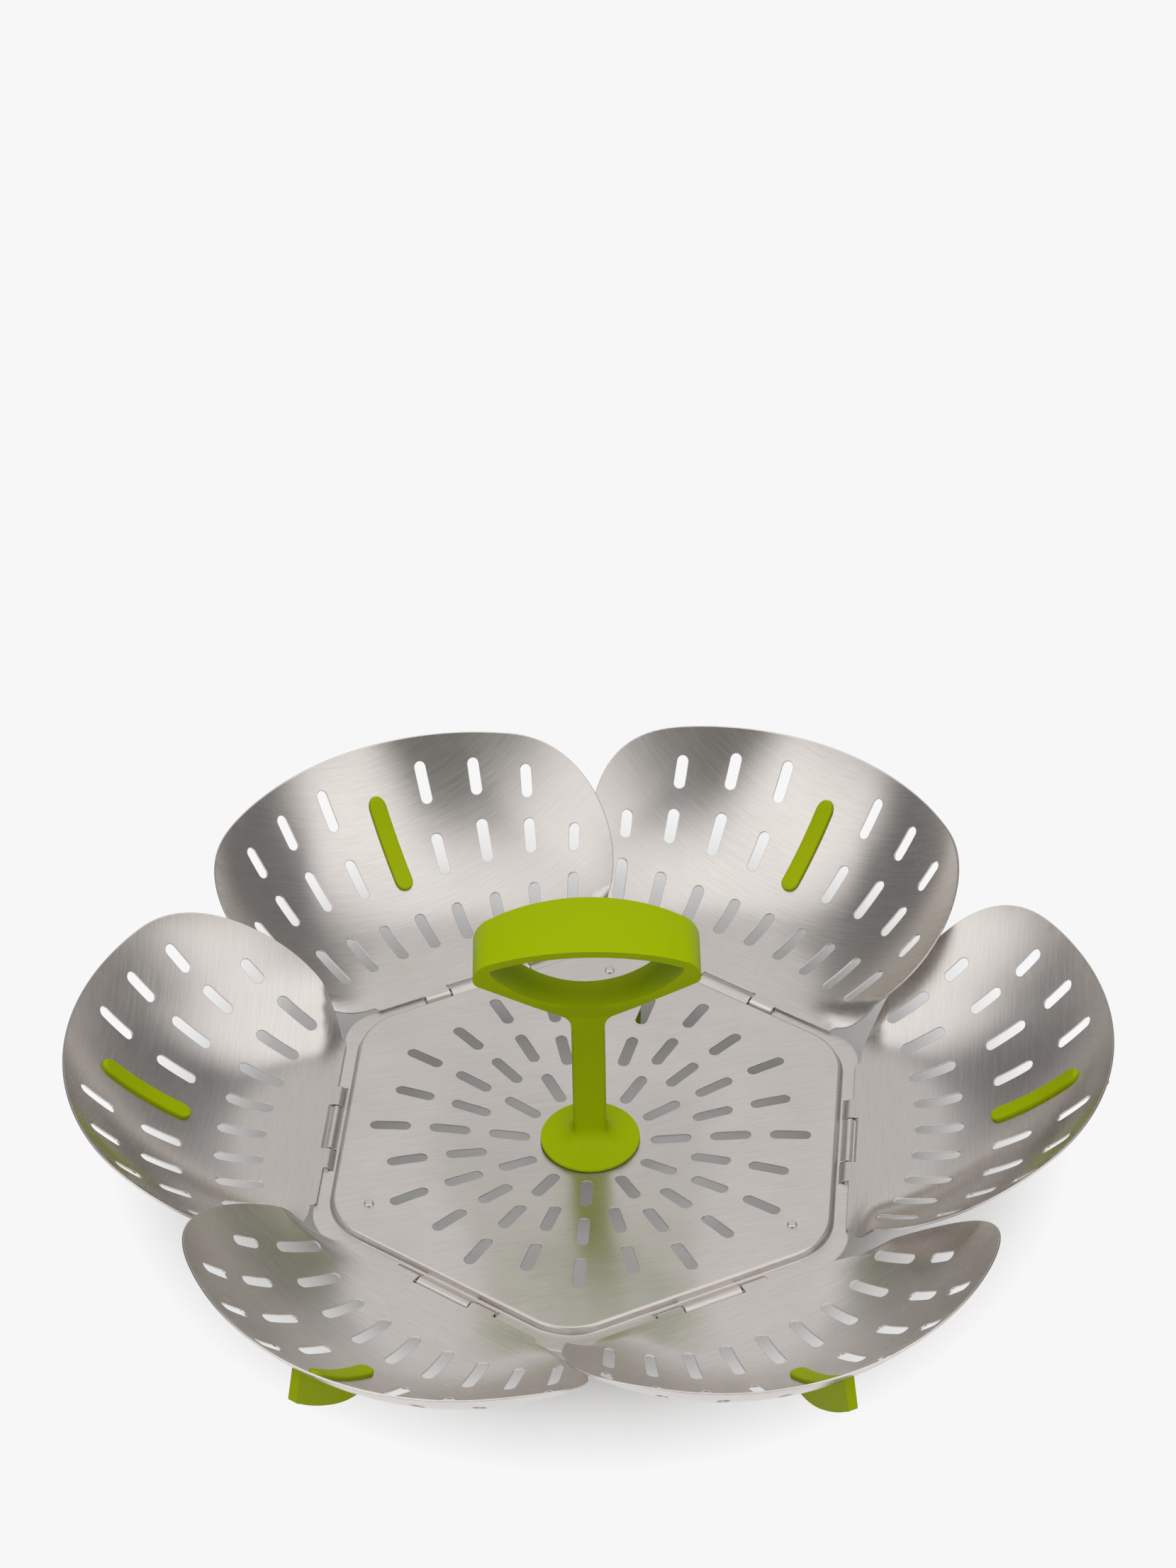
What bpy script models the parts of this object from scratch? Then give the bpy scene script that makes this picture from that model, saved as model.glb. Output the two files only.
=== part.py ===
# Folding steamer basket: six pressed petals hinged round a hexagonal floor plate.
# Metres, +Z up. The origin lies on the table under the middle of the plate.
# Petal 1 opens along +X and the others follow anticlockwise, seen from above.

import math

import bmesh
import bpy
import numpy as np
from mathutils import Matrix, Vector

# Counts and directions
PETALS = 6
LEGS = 3
PETAL_STEP = math.tau / PETALS
HALF_STEP = PETAL_STEP / 2
LEG_STEP = math.tau / LEGS
LEG_TURN = math.radians(90)
HANDLE_TURN = math.radians(5.6)

# Fits
GAP = 0.0003
OVERRUN = 0.004
PROBE = 0.00001
WELD = 0.000001

# Colours and shading
STEEL_COLOUR = (0.52, 0.50, 0.48)
NYLON_COLOUR = (0.30, 0.43, 0.0)
SILICONE_COLOUR = (0.32, 0.44, 0.0)
SMOOTH_ANGLE = math.radians(35)
GRIP_SMOOTH_ANGLE = math.radians(50)

# Stand and sheet
STAND_HEIGHT = 0.022
SHEET = 0.0005

# Floor plate: dished panel with a stepped edge
PANEL_APOTHEM = 0.0615
PANEL_CORNER = 0.016
CORNER_STEPS = 3
STEP_WIDTH = 0.0013
STEP_SHARES = ((0.0, 0.0), (0.65, 0.32), (1.0, 1.0))
DISH_RADIUS = 0.050
DISH_DEPTH = 0.0037

# Slots: one width and one length serve plate and petals
SLOT_WIDTH = 0.0029
SLOT_SIDES = 8
PLATE_SLOT_LENGTH = 0.0100
PLATE_SLOT_TURN = math.radians(2)
PLATE_SPOKES = 24
SLOT_ROOM = 0.0003
PLATE_SLOT_LAND = 0.0048
PLATE_SLOT_STEP = PLATE_SLOT_LENGTH + PLATE_SLOT_LAND
PLATE_SLOT_STAGGER = 0.0036
INNER_SLOT_RADIUS = 0.0200
MIDDLE_SLOT_RADIUS = INNER_SLOT_RADIUS + PLATE_SLOT_STEP
MIDDLE_SLOT_RADII = (MIDDLE_SLOT_RADIUS, MIDDLE_SLOT_RADIUS - PLATE_SLOT_STAGGER)
OUTER_SLOT_RADII = tuple(radius + PLATE_SLOT_STEP for radius in MIDDLE_SLOT_RADII)

# Rolled hinge: a tab of the plate between two tongues of the petal, on a wire pin
PIN_RADIUS = 0.0007
KNUCKLE_RADIUS = PIN_RADIUS + GAP + SHEET
HINGE_ROOM = 0.0010
HINGE_RADIUS = PANEL_APOTHEM + KNUCKLE_RADIUS + HINGE_ROOM
HINGE_DROP = 0.0010
HINGE_HEIGHT = STAND_HEIGHT - HINGE_DROP - KNUCKLE_RADIUS
HINGE_SIDE = 0.0021
TAB_WIDTH = 0.0150
TONGUE_WIDTH = 0.0066
HINGE_GAP = 0.0004
PIN_INSET = 0.0002
PIN_SIDES = 8
CURL_STEPS = 6
CURL_SWEEP = math.radians(280)

# Flange of the plate: it runs on under the open petals, notched for their tongues
REST_GAP = 0.00045
FLANGE_HEIGHT = HINGE_HEIGHT + KNUCKLE_RADIUS - SHEET - REST_GAP
FLANGE_DROP = STAND_HEIGHT - FLANGE_HEIGHT
FLANGE_LAP = 0.0012
FLANGE_APOTHEM = HINGE_RADIUS + FLANGE_LAP
FLANGE_CORNER = 0.012
NOTCH_APOTHEM = HINGE_RADIUS - KNUCKLE_RADIUS - HINGE_GAP
NOTCH_CORNER = PANEL_CORNER + NOTCH_APOTHEM - PANEL_APOTHEM

# Petal bowl: part of a sphere that runs out into a flat at the hinge
BOWL_RADIUS = 0.0789
BOWL_IN = 0.0045
BOWL_SIDE = 0.0064
BOWL_SINK = 0.0052
BOWL_HEIGHT = BOWL_RADIUS - BOWL_SINK
FLAT_SOFTNESS = 0.0020
FLAT_LENGTH = 0.0080

# Petal outline: inner edge, two swept sides and a round rim
CORNER_ROOM = 0.00695
PETAL_HALF_WIDTH = HINGE_RADIUS * math.tan(HALF_STEP) - CORNER_ROOM
WINDOW_OUT = KNUCKLE_RADIUS + HINGE_GAP
PETAL_EDGE = 0.0005
EDGE_CORNER = 0.0010
RIM_SHARE = 0.8555
RIM_RADIUS = BOWL_RADIUS * RIM_SHARE
PETAL_REACH = RIM_RADIUS - BOWL_IN
LEAD_SIDE = {"leave": math.radians(-79.9), "pull": 0.0171, "meet": math.radians(-34.3), "ease": 0.0264}
TRAIL_SIDE = {"leave": math.radians(96.3), "pull": 0.0154, "meet": math.radians(37.7), "ease": 0.0369}
SIDE_SHARE = 0.62
SIDE_SAMPLES = 40
RIM_SAMPLES = 60

# Petal grid: lines that pass between the slots
ROW_SHARES = (0.0, 0.09, 0.18, 0.476, 0.757, 1.0)
RIM_LINE_SHARES = (0.0, 0.075, 0.19, 0.31, 0.43, 0.555, 0.68, 0.80, 0.91, 1.0)
TONGUE_COLUMNS = (2, 5)
MIDDLE_COLUMN = 4

# Petal slots: rows on rays that spread from a focus inside the hinge
FOCUS_IN = 0.060
RAY_STEP = math.radians(6.8)
PETAL_SLOT_LENGTH = 0.0122
LOWER_ROW_RAYS = 4
LOWER_ROW_SHARE = 0.668
MIDDLE_ROW_SHARES = ((0.817, 0.93), (0.817, 0.97), (0.802, 0.77), (0.776, 0.62))
UPPER_ROW_SHARES = ((0.934, 0.93), (0.920, 0.80), (0.889, 0.72))

# Silicone foot of a petal: strip inside, plug through the sheet, fin outside
STRIP_LENGTH = 0.0204
STRIP_WIDTH = 0.0045
STRIP_HEIGHT = 0.0010
STRIP_SHARE = 0.854
STRIP_END_SHARES = ((0.12, 0.47), (0.5, 0.87), (1.0, 1.0))
PLUG_SLOT_LENGTH = 0.0150
FIN_SHARE = 0.444
FIN_LENGTH = PETAL_REACH * FIN_SHARE
FIN_START = PETAL_REACH - FIN_LENGTH
FIN_DEPTH = 0.0124
FIN_BACK_SHARES = ((0.06, 0.22), (0.18, 0.45), (0.42, 0.65), (0.68, 0.78))
FIN_FRONT_SHARES = ((0.86, 0.90), (0.95, 0.95), (1.0, 0.88))
FIN_EDGE_SHARES = FIN_BACK_SHARES + FIN_FRONT_SHARES
FIN_TOP_SHARE = 0.90

# Handle: round foot, flat stem and a hoop of grip
DISC_RADIUS = 0.0123
DISC_EDGE = 0.0009
FOOT_HEIGHT = 0.0090
FOOT_STEPS = 5
FOOT_SIDES = 20
STEM_WIDTH = 0.0082
STEM_DEPTH = 0.0060
STEM_CORNER = 0.0012
GRIP_BASE = 0.0424
GRIP_HEIGHT = 0.0278
GRIP_HALF_WIDTH = 0.0273
GRIP_TOP_RADIUS = 0.058
GRIP_WALL = 0.0026
GRIP_CORNER = 0.0065
GRIP_LOWER_CORNER = 0.0030
GRIP_END_WALL = 0.0060
HOOP_FLOOR_RADIUS = 0.0268
HOOP_FLOOR_HEIGHT = 0.0056
HOOP_END_ROOM = 0.00065
STEM_FILLET = 0.0040
ARC_STEPS = 5
FILLET_STEPS = 3
SHOULDER_STEPS = 4
GRIP_BEVEL = 0.0011
GRIP_DEPTH_TOP = 0.0200
GRIP_DEPTH_SHARES = ((0.0, 0.30), (0.20, 0.46), (0.67, 0.75), (0.81, 0.82), (1.0, 1.0))

# Screw and washer that hold the handle from below
SCREW_RADIUS = 0.0020
SCREW_LENGTH = 0.0140
SCREW_HEAD_RADIUS = 0.0038
SCREW_HEAD_HEIGHT = 0.0024
SCREW_CHAMFER = 0.0005
SCREW_STEPS = 12
WASHER_RADIUS = 0.0060
WASHER_THICKNESS = 0.0008
SEAT_MARGIN = 0.0006

# Legs: bent strips, silicone tips and rivets
RIVET_LAND = 0.0049
RIVET_CIRCLE = OUTER_SLOT_RADII[0] + PLATE_SLOT_LENGTH / 2 + RIVET_LAND
RIVET_RADIUS = 0.0006
RIVET_HEAD_RADIUS = 0.0012
RIVET_HEAD_HEIGHT = 0.0006
RIVET_DOME_SHARES = ((0.0, 1.0), (0.75, 0.9), (1.0, 0.4))
RIVET_CLOSED_SHARE = 0.5
RIVET_STEPS = 8
LEG_SHEET = 0.0010
LEG_WIDTH = 0.0120
LEG_REACH = 0.0045
LEG_BEND = 0.0020
BEND_STEPS = 3
TIP_SIDE_WALL = 0.0012
TIP_FRONT_WALL = 0.0017
TIP_WIDTH = LEG_WIDTH + 2 * (GAP + TIP_SIDE_WALL)
TIP_DEPTH = LEG_SHEET + 2 * (GAP + TIP_FRONT_WALL)
TIP_HEIGHT = 0.0085
TIP_FLOOR = 0.0015
TIP_ROUNDING = 0.0009

# Heights and radii that follow from the sizes above
SCREW_HOLE = SCREW_RADIUS + GAP
RIVET_HOLE = RIVET_RADIUS + GAP
SEAT_RADIUS = DISC_RADIUS + SEAT_MARGIN
RAY_REACH = FOCUS_IN + PETAL_REACH


def dish_height(radius):
    """Height of the plate's top face above the table, at a distance from its middle."""
    if radius >= DISH_RADIUS:
        return STAND_HEIGHT
    fall = (1 + math.cos(math.pi * radius / DISH_RADIUS)) / 2
    return STAND_HEIGHT - DISH_DEPTH * fall


SEAT_HEIGHT = dish_height(SEAT_RADIUS)


def clear_scene():
    """Removes every object of the scene."""
    for obj in list(bpy.data.objects):
        bpy.data.objects.remove(obj, do_unlink=True)


def make_collection(name):
    """A collection of the scene with the given name."""
    collection = bpy.data.collections.new(name)
    bpy.context.scene.collection.children.link(collection)
    return collection


def make_material(name, colour, metallic, roughness):
    """A plain material with the part's colour, metallic value and roughness."""
    material = bpy.data.materials.new(name)
    material.use_nodes = True
    shader = material.node_tree.nodes["Principled BSDF"]
    shader.inputs["Base Color"].default_value = (*colour, 1.0)
    shader.inputs["Metallic"].default_value = metallic
    shader.inputs["Roughness"].default_value = roughness
    material.diffuse_color = (*colour, 1.0)
    return material


def steel(name):
    """Brushed stainless steel."""
    return make_material(name, STEEL_COLOUR, 1.0, 0.32)


def lime_nylon(name):
    """Moulded lime green nylon."""
    return make_material(name, NYLON_COLOUR, 0.0, 0.38)


def lime_silicone(name):
    """Soft lime green silicone rubber."""
    return make_material(name, SILICONE_COLOUR, 0.0, 0.55)


def add_object(name, mesh, collection):
    """An object of the mesh in the collection."""
    obj = bpy.data.objects.new(name, mesh)
    collection.objects.link(obj)
    return obj


def mesh_object(name, bm, collection):
    """An object of the finished bmesh."""
    mesh = bpy.data.meshes.new(name)
    bm.to_mesh(mesh)
    bm.free()
    return add_object(name, mesh, collection)


def settle(obj):
    """Turns an object's modifiers, or a curve, into a plain welded mesh."""
    bpy.context.view_layer.update()
    depsgraph = bpy.context.evaluated_depsgraph_get()
    mesh = bpy.data.meshes.new_from_object(obj.evaluated_get(depsgraph))
    bm = bmesh.new()
    bm.from_mesh(mesh)
    bmesh.ops.remove_doubles(bm, verts=bm.verts, dist=WELD)
    bm.to_mesh(mesh)
    bm.free()
    mesh.materials.clear()
    settled = add_object(obj.name, mesh, obj.users_collection[0])
    settled.matrix_world = obj.matrix_world
    name = obj.name
    bpy.data.objects.remove(obj, do_unlink=True)
    settled.name = name
    return settled


def thicken(obj, thickness, side):
    """Gives an open surface its thickness, on the side of its normals or against them."""
    modifier = obj.modifiers.new("thickness", "SOLIDIFY")
    modifier.thickness = thickness
    modifier.offset = side
    modifier.use_even_offset = True


def combine(obj, tools, operation):
    """Cuts, joins or intersects the object with each tool and removes the tools."""
    for tool in tools:
        modifier = obj.modifiers.new(operation.lower(), "BOOLEAN")
        modifier.operation = operation
        modifier.solver = "EXACT"
        modifier.object = tool
    obj = settle(obj)
    for tool in tools:
        bpy.data.objects.remove(tool, do_unlink=True)
    return obj


def round_edges(obj, width, segments):
    """Rounds the sharp edges of the object."""
    modifier = obj.modifiers.new("rounding", "BEVEL")
    modifier.width = width
    modifier.segments = segments
    modifier.limit_method = "ANGLE"


def finish(obj, material, smooth_angle=SMOOTH_ANGLE):
    """Gives a piece its material and smooth round faces."""
    obj.data.materials.clear()
    obj.data.materials.append(material)
    obj.data.shade_smooth()
    obj.data.set_sharp_from_angle(angle=smooth_angle)


def turned(name, profile, steps, collection):
    """A solid of revolution; the profile runs down its outer side from top to bottom."""
    mesh = bpy.data.meshes.new(name)
    edges = [(i, i + 1) for i in range(len(profile) - 1)]
    mesh.from_pydata([(radius, 0, height) for radius, height in profile], edges, [])
    obj = add_object(name, mesh, collection)
    modifier = obj.modifiers.new("turn", "SCREW")
    modifier.steps = steps
    modifier.render_steps = steps
    modifier.use_merge_vertices = True
    modifier.merge_threshold = PROBE
    return obj


def outline_object(name, outlines, thickness, collection):
    """A flat piece: closed outlines in the XY plane, filled and extruded to a thickness."""
    curve = bpy.data.curves.new(name, "CURVE")
    curve.dimensions = "2D"
    curve.fill_mode = "BOTH"
    curve.extrude = thickness / 2
    for outline in outlines:
        spline = curve.splines.new("POLY")
        spline.points.add(len(outline) - 1)
        spline.use_cyclic_u = True
        for point, (x, y) in zip(spline.points, outline):
            point.co = (x, y, 0, 1)
    return add_object(name, curve, collection)


def arc(centre, radius, start, end, steps):
    """Points of an arc, both ends included."""
    angles = [start + (end - start) * i / steps for i in range(steps + 1)]
    return [(centre[0] + radius * math.cos(angle), centre[1] + radius * math.sin(angle)) for angle in angles]


def rounded_corner(before, corner, after, radius, steps):
    """Points that round one corner of an outline."""
    corner = Vector(corner)
    into = (corner - Vector(before)).normalized()
    away = (Vector(after) - corner).normalized()
    turn = into.angle_signed(away)
    setback = radius * math.tan(abs(turn) / 2)
    start = corner - into * setback
    inward = Vector((-into.y, into.x)) * math.copysign(1, -turn)
    centre = start + inward * radius
    first = start - centre
    points = []
    for i in range(steps + 1):
        angle = -turn * i / steps
        spun = Matrix.Rotation(angle, 2) @ first
        points.append(tuple(centre + spun))
    return points


def make_grid(columns, rows):
    """A grid of faces, with its points under their column and row."""
    bm = bmesh.new()
    bmesh.ops.create_grid(bm, x_segments=columns, y_segments=rows, size=0.5)
    grid = {}
    for vert in bm.verts:
        column = round((vert.co.x + 0.5) * columns)
        row = round((vert.co.y + 0.5) * rows)
        grid[column, row] = vert
    bmesh.ops.reverse_faces(bm, faces=bm.faces)
    return bm, grid


def add_slot(bm, place, length, width, low, high):
    """Adds a round-ended prism along the local X axis of the place, from low to high."""
    radius = width / 2 / math.cos(math.pi / SLOT_SIDES)
    spun = Matrix.Rotation(math.pi / SLOT_SIDES, 4, "Z")
    made = bmesh.ops.create_cone(
        bm, cap_ends=True, segments=SLOT_SIDES, radius1=radius, radius2=radius, depth=high - low, matrix=spun
    )
    middle = Vector((0, 0, (low + high) / 2))
    stretch = Vector((length / 2 - width / 2, 0, 0))
    for vert in made["verts"]:
        side = math.copysign(1, vert.co.x)
        vert.co = place @ (vert.co + middle + stretch * side)


def hinge_curl(start, sign):
    """Rolled edge seen from the side, as offsets outward and up from the hinge axis."""
    points = []
    for i in range(CURL_STEPS + 1):
        angle = start + sign * CURL_SWEEP * i / CURL_STEPS
        points.append((KNUCKLE_RADIUS * math.cos(angle), KNUCKLE_RADIUS * math.sin(angle)))
    return points


def round_ring(radius, height):
    """Points of a plate ring, half way between the spokes of slots."""
    first = PLATE_SLOT_TURN - math.pi / PLATE_SPOKES
    angles = [first + math.tau * i / PLATE_SPOKES for i in range(PLATE_SPOKES)]
    return [Vector((radius * math.cos(angle), radius * math.sin(angle), height)) for angle in angles]


def flange_marks():
    """Places along a side of the plate: first notch, the tab's two ends, last notch."""
    tab = TAB_WIDTH / 2
    notch = tab + TONGUE_WIDTH + 2 * HINGE_GAP
    return [HINGE_SIDE + offset for offset in (-notch, -tab, tab, notch)]


def hexagon_ring(apothem, corner_radius, height):
    """Points of a rounded hexagon: the marks of a side and a corner arc, for each side."""
    points = []
    inner = apothem - corner_radius
    for side in range(PETALS):
        flat = [(apothem, mark) for mark in flange_marks()]
        centre = (inner, inner * math.tan(HALF_STEP))
        corner = arc(centre, corner_radius, 0, PETAL_STEP, CORNER_STEPS)
        turn = Matrix.Rotation(PETAL_STEP * side, 4, "Z")
        points += [turn @ Vector((x, y, height)) for x, y in flat + corner]
    return points


def skin(bm, inner, outer):
    """Closes the band between two rings; unlike rings share one face on each side of the hexagon."""
    parts = len(inner) if len(inner) == len(outer) else PETALS
    near_step, far_step = len(inner) // parts, len(outer) // parts
    for part in range(parts):
        near = [inner[(part * near_step + i) % len(inner)] for i in range(near_step + 1)]
        far = [outer[(part * far_step + i) % len(outer)] for i in range(far_step + 1)]
        bm.faces.new(far + near[::-1])


def plate_rings():
    """The rings of the floor plate from the screw hole out to the bottom of the notches."""
    between = (INNER_SLOT_RADIUS + MIDDLE_SLOT_RADII[1]) / 2
    beyond = (MIDDLE_SLOT_RADII[0] + OUTER_SLOT_RADII[1]) / 2
    last = OUTER_SLOT_RADII[0] + PLATE_SLOT_LENGTH / 2 + SLOT_ROOM
    rings = [round_ring(SCREW_HOLE, SEAT_HEIGHT), round_ring(SEAT_RADIUS, SEAT_HEIGHT)]
    rings += [round_ring(radius, dish_height(radius)) for radius in (between, beyond)]
    rings.append(round_ring(last, dish_height(last)))
    for out_share, drop_share in STEP_SHARES:
        apothem = PANEL_APOTHEM - STEP_WIDTH * (1 - out_share)
        rings.append(hexagon_ring(apothem, PANEL_CORNER, STAND_HEIGHT - FLANGE_DROP * drop_share))
    rings.append(hexagon_ring(NOTCH_APOTHEM, NOTCH_CORNER, FLANGE_HEIGHT))
    return rings


def add_tab(bm, left, right, side):
    """Carries the flange on into one hinge tab, up to the pin and round it."""
    turn = Matrix.Rotation(PETAL_STEP * side, 4, "Z")
    out, up = NOTCH_APOTHEM - HINGE_RADIUS, FLANGE_HEIGHT - HINGE_HEIGHT
    touch = math.atan2(up, out) - math.acos(KNUCKLE_RADIUS / math.hypot(out, up))
    ends = flange_marks()[1:3]
    for out, up in hinge_curl(touch, -1):
        places = [Vector((HINGE_RADIUS + out, end, HINGE_HEIGHT + up)) for end in ends]
        new_left, new_right = [bm.verts.new(turn @ place) for place in places]
        bm.faces.new((left, new_left, new_right, right))
        left, right = new_left, new_right


def add_flange_corners(bm, ring):
    """Carries the flange on outward, round each corner from one notch to the next."""
    rim = hexagon_ring(FLANGE_APOTHEM, FLANGE_CORNER, FLANGE_HEIGHT)
    per_side = len(ring) // PETALS
    last_notch = len(flange_marks()) - 1
    for side in range(PETALS):
        stretch = [(side * per_side + i) % len(ring) for i in range(last_notch, per_side + 1)]
        near = [ring[i] for i in stretch]
        far = [bm.verts.new(rim[i]) for i in stretch]
        bm.faces.new(far + near[::-1])


def plate_slots(bm):
    """Adds the cutters of the plate's slots."""
    for spoke in range(PLATE_SPOKES):
        odd = spoke % 2
        radii = [MIDDLE_SLOT_RADII[odd], OUTER_SLOT_RADII[odd]]
        if not odd:
            radii.append(INNER_SLOT_RADIUS)
        turn = Matrix.Rotation(PLATE_SLOT_TURN + math.tau * spoke / PLATE_SPOKES, 4, "Z")
        for radius in radii:
            place = turn @ Matrix.Translation((radius, 0, STAND_HEIGHT))
            add_slot(bm, place, PLATE_SLOT_LENGTH, SLOT_WIDTH, -OVERRUN - DISH_DEPTH, OVERRUN)


def rivet_places():
    """The frames of the three rivets, on the plate's top face."""
    turns = [Matrix.Rotation(LEG_TURN + LEG_STEP * i, 4, "Z") for i in range(LEGS)]
    return [turn @ Matrix.Translation((RIVET_CIRCLE, 0, STAND_HEIGHT)) for turn in turns]


def make_floor_plate(collection, cutters):
    """The pressed floor plate with its slots, rivet holes, notched flange and six hinge tabs."""
    bm = bmesh.new()
    loops = [[bm.verts.new(point) for point in ring] for ring in plate_rings()]
    for inner, outer in zip(loops, loops[1:]):
        skin(bm, inner, outer)
    edge = loops[-1]
    per_side = len(edge) // PETALS
    for side in range(PETALS):
        add_tab(bm, edge[side * per_side + 1], edge[side * per_side + 2], side)
    add_flange_corners(bm, edge)
    plate = mesh_object("floor_plate", bm, collection)
    thicken(plate, SHEET, -1)
    holes = bmesh.new()
    plate_slots(holes)
    for place in rivet_places():
        add_slot(holes, place, RIVET_HOLE * 2, RIVET_HOLE * 2, -OVERRUN, OVERRUN)
    plate = combine(plate, [mesh_object("plate_holes", holes, cutters)], "DIFFERENCE")
    finish(plate, steel("plate_steel"))
    return plate


def petal_height(out, side):
    """Height of a petal's top face above the hinge axis, at a place out from the axis."""
    spread = math.hypot(out + BOWL_IN, side - BOWL_SIDE)
    rise = BOWL_HEIGHT - math.sqrt(BOWL_RADIUS**2 - spread**2)
    soft = (rise + math.hypot(rise, FLAT_SOFTNESS)) / 2
    blend = min(max(out / FLAT_LENGTH, 0), 1)
    return KNUCKLE_RADIUS + soft * blend**2 * (3 - 2 * blend)


def petal_frame(out, side, turn=0.0):
    """Frame on a petal's top face: X along the turned ray, Z square to the sheet."""
    origin = Vector((out, side, petal_height(out, side)))
    along = Vector((math.cos(turn), math.sin(turn), 0)) * PROBE
    across = Vector((-along.y, along.x, 0))
    ahead = Vector((*(origin + along).xy, petal_height(*(origin + along).xy)))
    beside = Vector((*(origin + across).xy, petal_height(*(origin + across).xy)))
    x_axis = (ahead - origin).normalized()
    z_axis = x_axis.cross(beside - origin).normalized()
    y_axis = z_axis.cross(x_axis)
    frame = Matrix((x_axis, y_axis, z_axis)).transposed().to_4x4()
    frame.translation = origin
    return frame


def side_curve(side, half_width):
    """A petal's side from the hinge's edge out to the rim, as points in plan."""
    meet = Vector((math.cos(side["meet"]), math.sin(side["meet"])))
    along_rim = Vector((meet.y, -meet.x)) * math.copysign(1, side["meet"])
    start = Vector((WINDOW_OUT, half_width))
    first = start + Vector((math.cos(side["leave"]), math.sin(side["leave"]))) * side["pull"]
    end = Vector((-BOWL_IN, BOWL_SIDE)) + meet * RIM_RADIUS
    last = end - along_rim * side["ease"]
    points = []
    for i in range(SIDE_SAMPLES + 1):
        share = i / SIDE_SAMPLES
        rest = 1 - share
        point = start * rest**3 + first * 3 * rest**2 * share + last * 3 * rest * share**2 + end * share**3
        points.append(point)
    return points


def along(points, share):
    """The place at a share of a polyline's length."""
    steps = [(b - a).length for a, b in zip(points, points[1:])]
    reached = np.concatenate(([0.0], np.cumsum(steps)))
    where = share * reached[-1]
    return [float(np.interp(where, reached, [point[axis] for point in points])) for axis in (0, 1)]


def petal_lines():
    """The two sides, the rim between them and the inner edge's places across the petal."""
    lead = side_curve(LEAD_SIDE, -PETAL_HALF_WIDTH)
    trail = side_curve(TRAIL_SIDE, PETAL_HALF_WIDTH)
    turned_rim = arc((-BOWL_IN, BOWL_SIDE), RIM_RADIUS, LEAD_SIDE["meet"], TRAIL_SIDE["meet"], RIM_SAMPLES)
    split = round(SIDE_SAMPLES * SIDE_SHARE)
    rim = lead[split:-1] + [Vector(point) for point in turned_rim] + trail[split:-1][::-1]
    window = TAB_WIDTH / 2 + HINGE_GAP
    tongue = window + TONGUE_WIDTH
    near = [HINGE_SIDE + offset for offset in (-tongue, -window, 0, window, tongue)]
    lead_room = near[0] + PETAL_HALF_WIDTH
    trail_room = PETAL_HALF_WIDTH - near[-1]
    places = [-PETAL_HALF_WIDTH, near[0] - lead_room / 2, *near]
    places += [near[-1] + trail_room / 3, near[-1] + trail_room * 2 / 3, PETAL_HALF_WIDTH]
    return lead[: split + 1], trail[: split + 1], rim, places


def petal_point(place):
    """The point of a petal's top face over a place in plan."""
    out, side = place
    return Vector((out, side, petal_height(out, side)))


def grid_place(lines, column, share):
    """Plan place on one of the lines that run from the inner edge out to the rim."""
    lead, trail, rim, places = lines
    if column == 0:
        return along(lead, share)
    if column == len(places) - 1:
        return along(trail, share)
    far = along(rim, RIM_LINE_SHARES[column])
    return [WINDOW_OUT + (far[0] - WINDOW_OUT) * share, places[column] + (far[1] - places[column]) * share]


def add_edge_points(bm, grid, lead, trail, rim):
    """Puts one more point in each stretch of the petal's sides and rim."""
    rows = len(ROW_SHARES)
    columns = len(RIM_LINE_SHARES) - 1
    stretches = []
    for row in range(1, rows):
        share = (ROW_SHARES[row - 1] + ROW_SHARES[row]) / 2
        stretches.append((grid[0, row], grid[0, row + 1], along(lead, share)))
        stretches.append((grid[columns, row], grid[columns, row + 1], along(trail, share)))
    for column in range(columns):
        share = (RIM_LINE_SHARES[column] + RIM_LINE_SHARES[column + 1]) / 2
        stretches.append((grid[column, rows], grid[column + 1, rows], along(rim, share)))
    for start, end, place in stretches:
        edge = bm.edges.get((start, end))
        middle = bmesh.utils.edge_split(edge, start, 0.5)[1]
        middle.co = petal_point(place)
    bmesh.ops.triangulate(bm, faces=[face for face in bm.faces if len(face.verts) > 4])


def petal_surface():
    """The petal's top face as an open grid, with the hinge window and the rolled tongues."""
    lines = petal_lines()
    lead, trail, rim, places = lines
    bm, grid = make_grid(len(places) - 1, len(ROW_SHARES))
    edge = [places[0] + EDGE_CORNER, *places[1:-1], places[-1] - EDGE_CORNER]
    for (column, row), vert in grid.items():
        place = (PETAL_EDGE, edge[column]) if row == 0 else grid_place(lines, column, ROW_SHARES[row - 1])
        vert.co = petal_point(place)
    add_edge_points(bm, grid, lead, trail, rim)
    bmesh.ops.delete(bm, geom=[grid[MIDDLE_COLUMN, 0]], context="VERTS")
    for column in TONGUE_COLUMNS:
        right, left = grid[column, 0], grid[column + 1, 0]
        for out, up in hinge_curl(math.pi / 2, 1):
            new_right = bm.verts.new((out, right.co.y, up))
            new_left = bm.verts.new((out, left.co.y, up))
            bm.faces.new((right, left, new_left, new_right))
            right, left = new_right, new_left
    return bm


def ray_place(ray, reach):
    """Frame of a slot's middle on a numbered ray, at a distance from the focus."""
    turn = RAY_STEP * ray
    out = reach * math.cos(turn) - FOCUS_IN
    side = reach * math.sin(turn) + BOWL_SIDE
    return petal_frame(out, side, turn)


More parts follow.
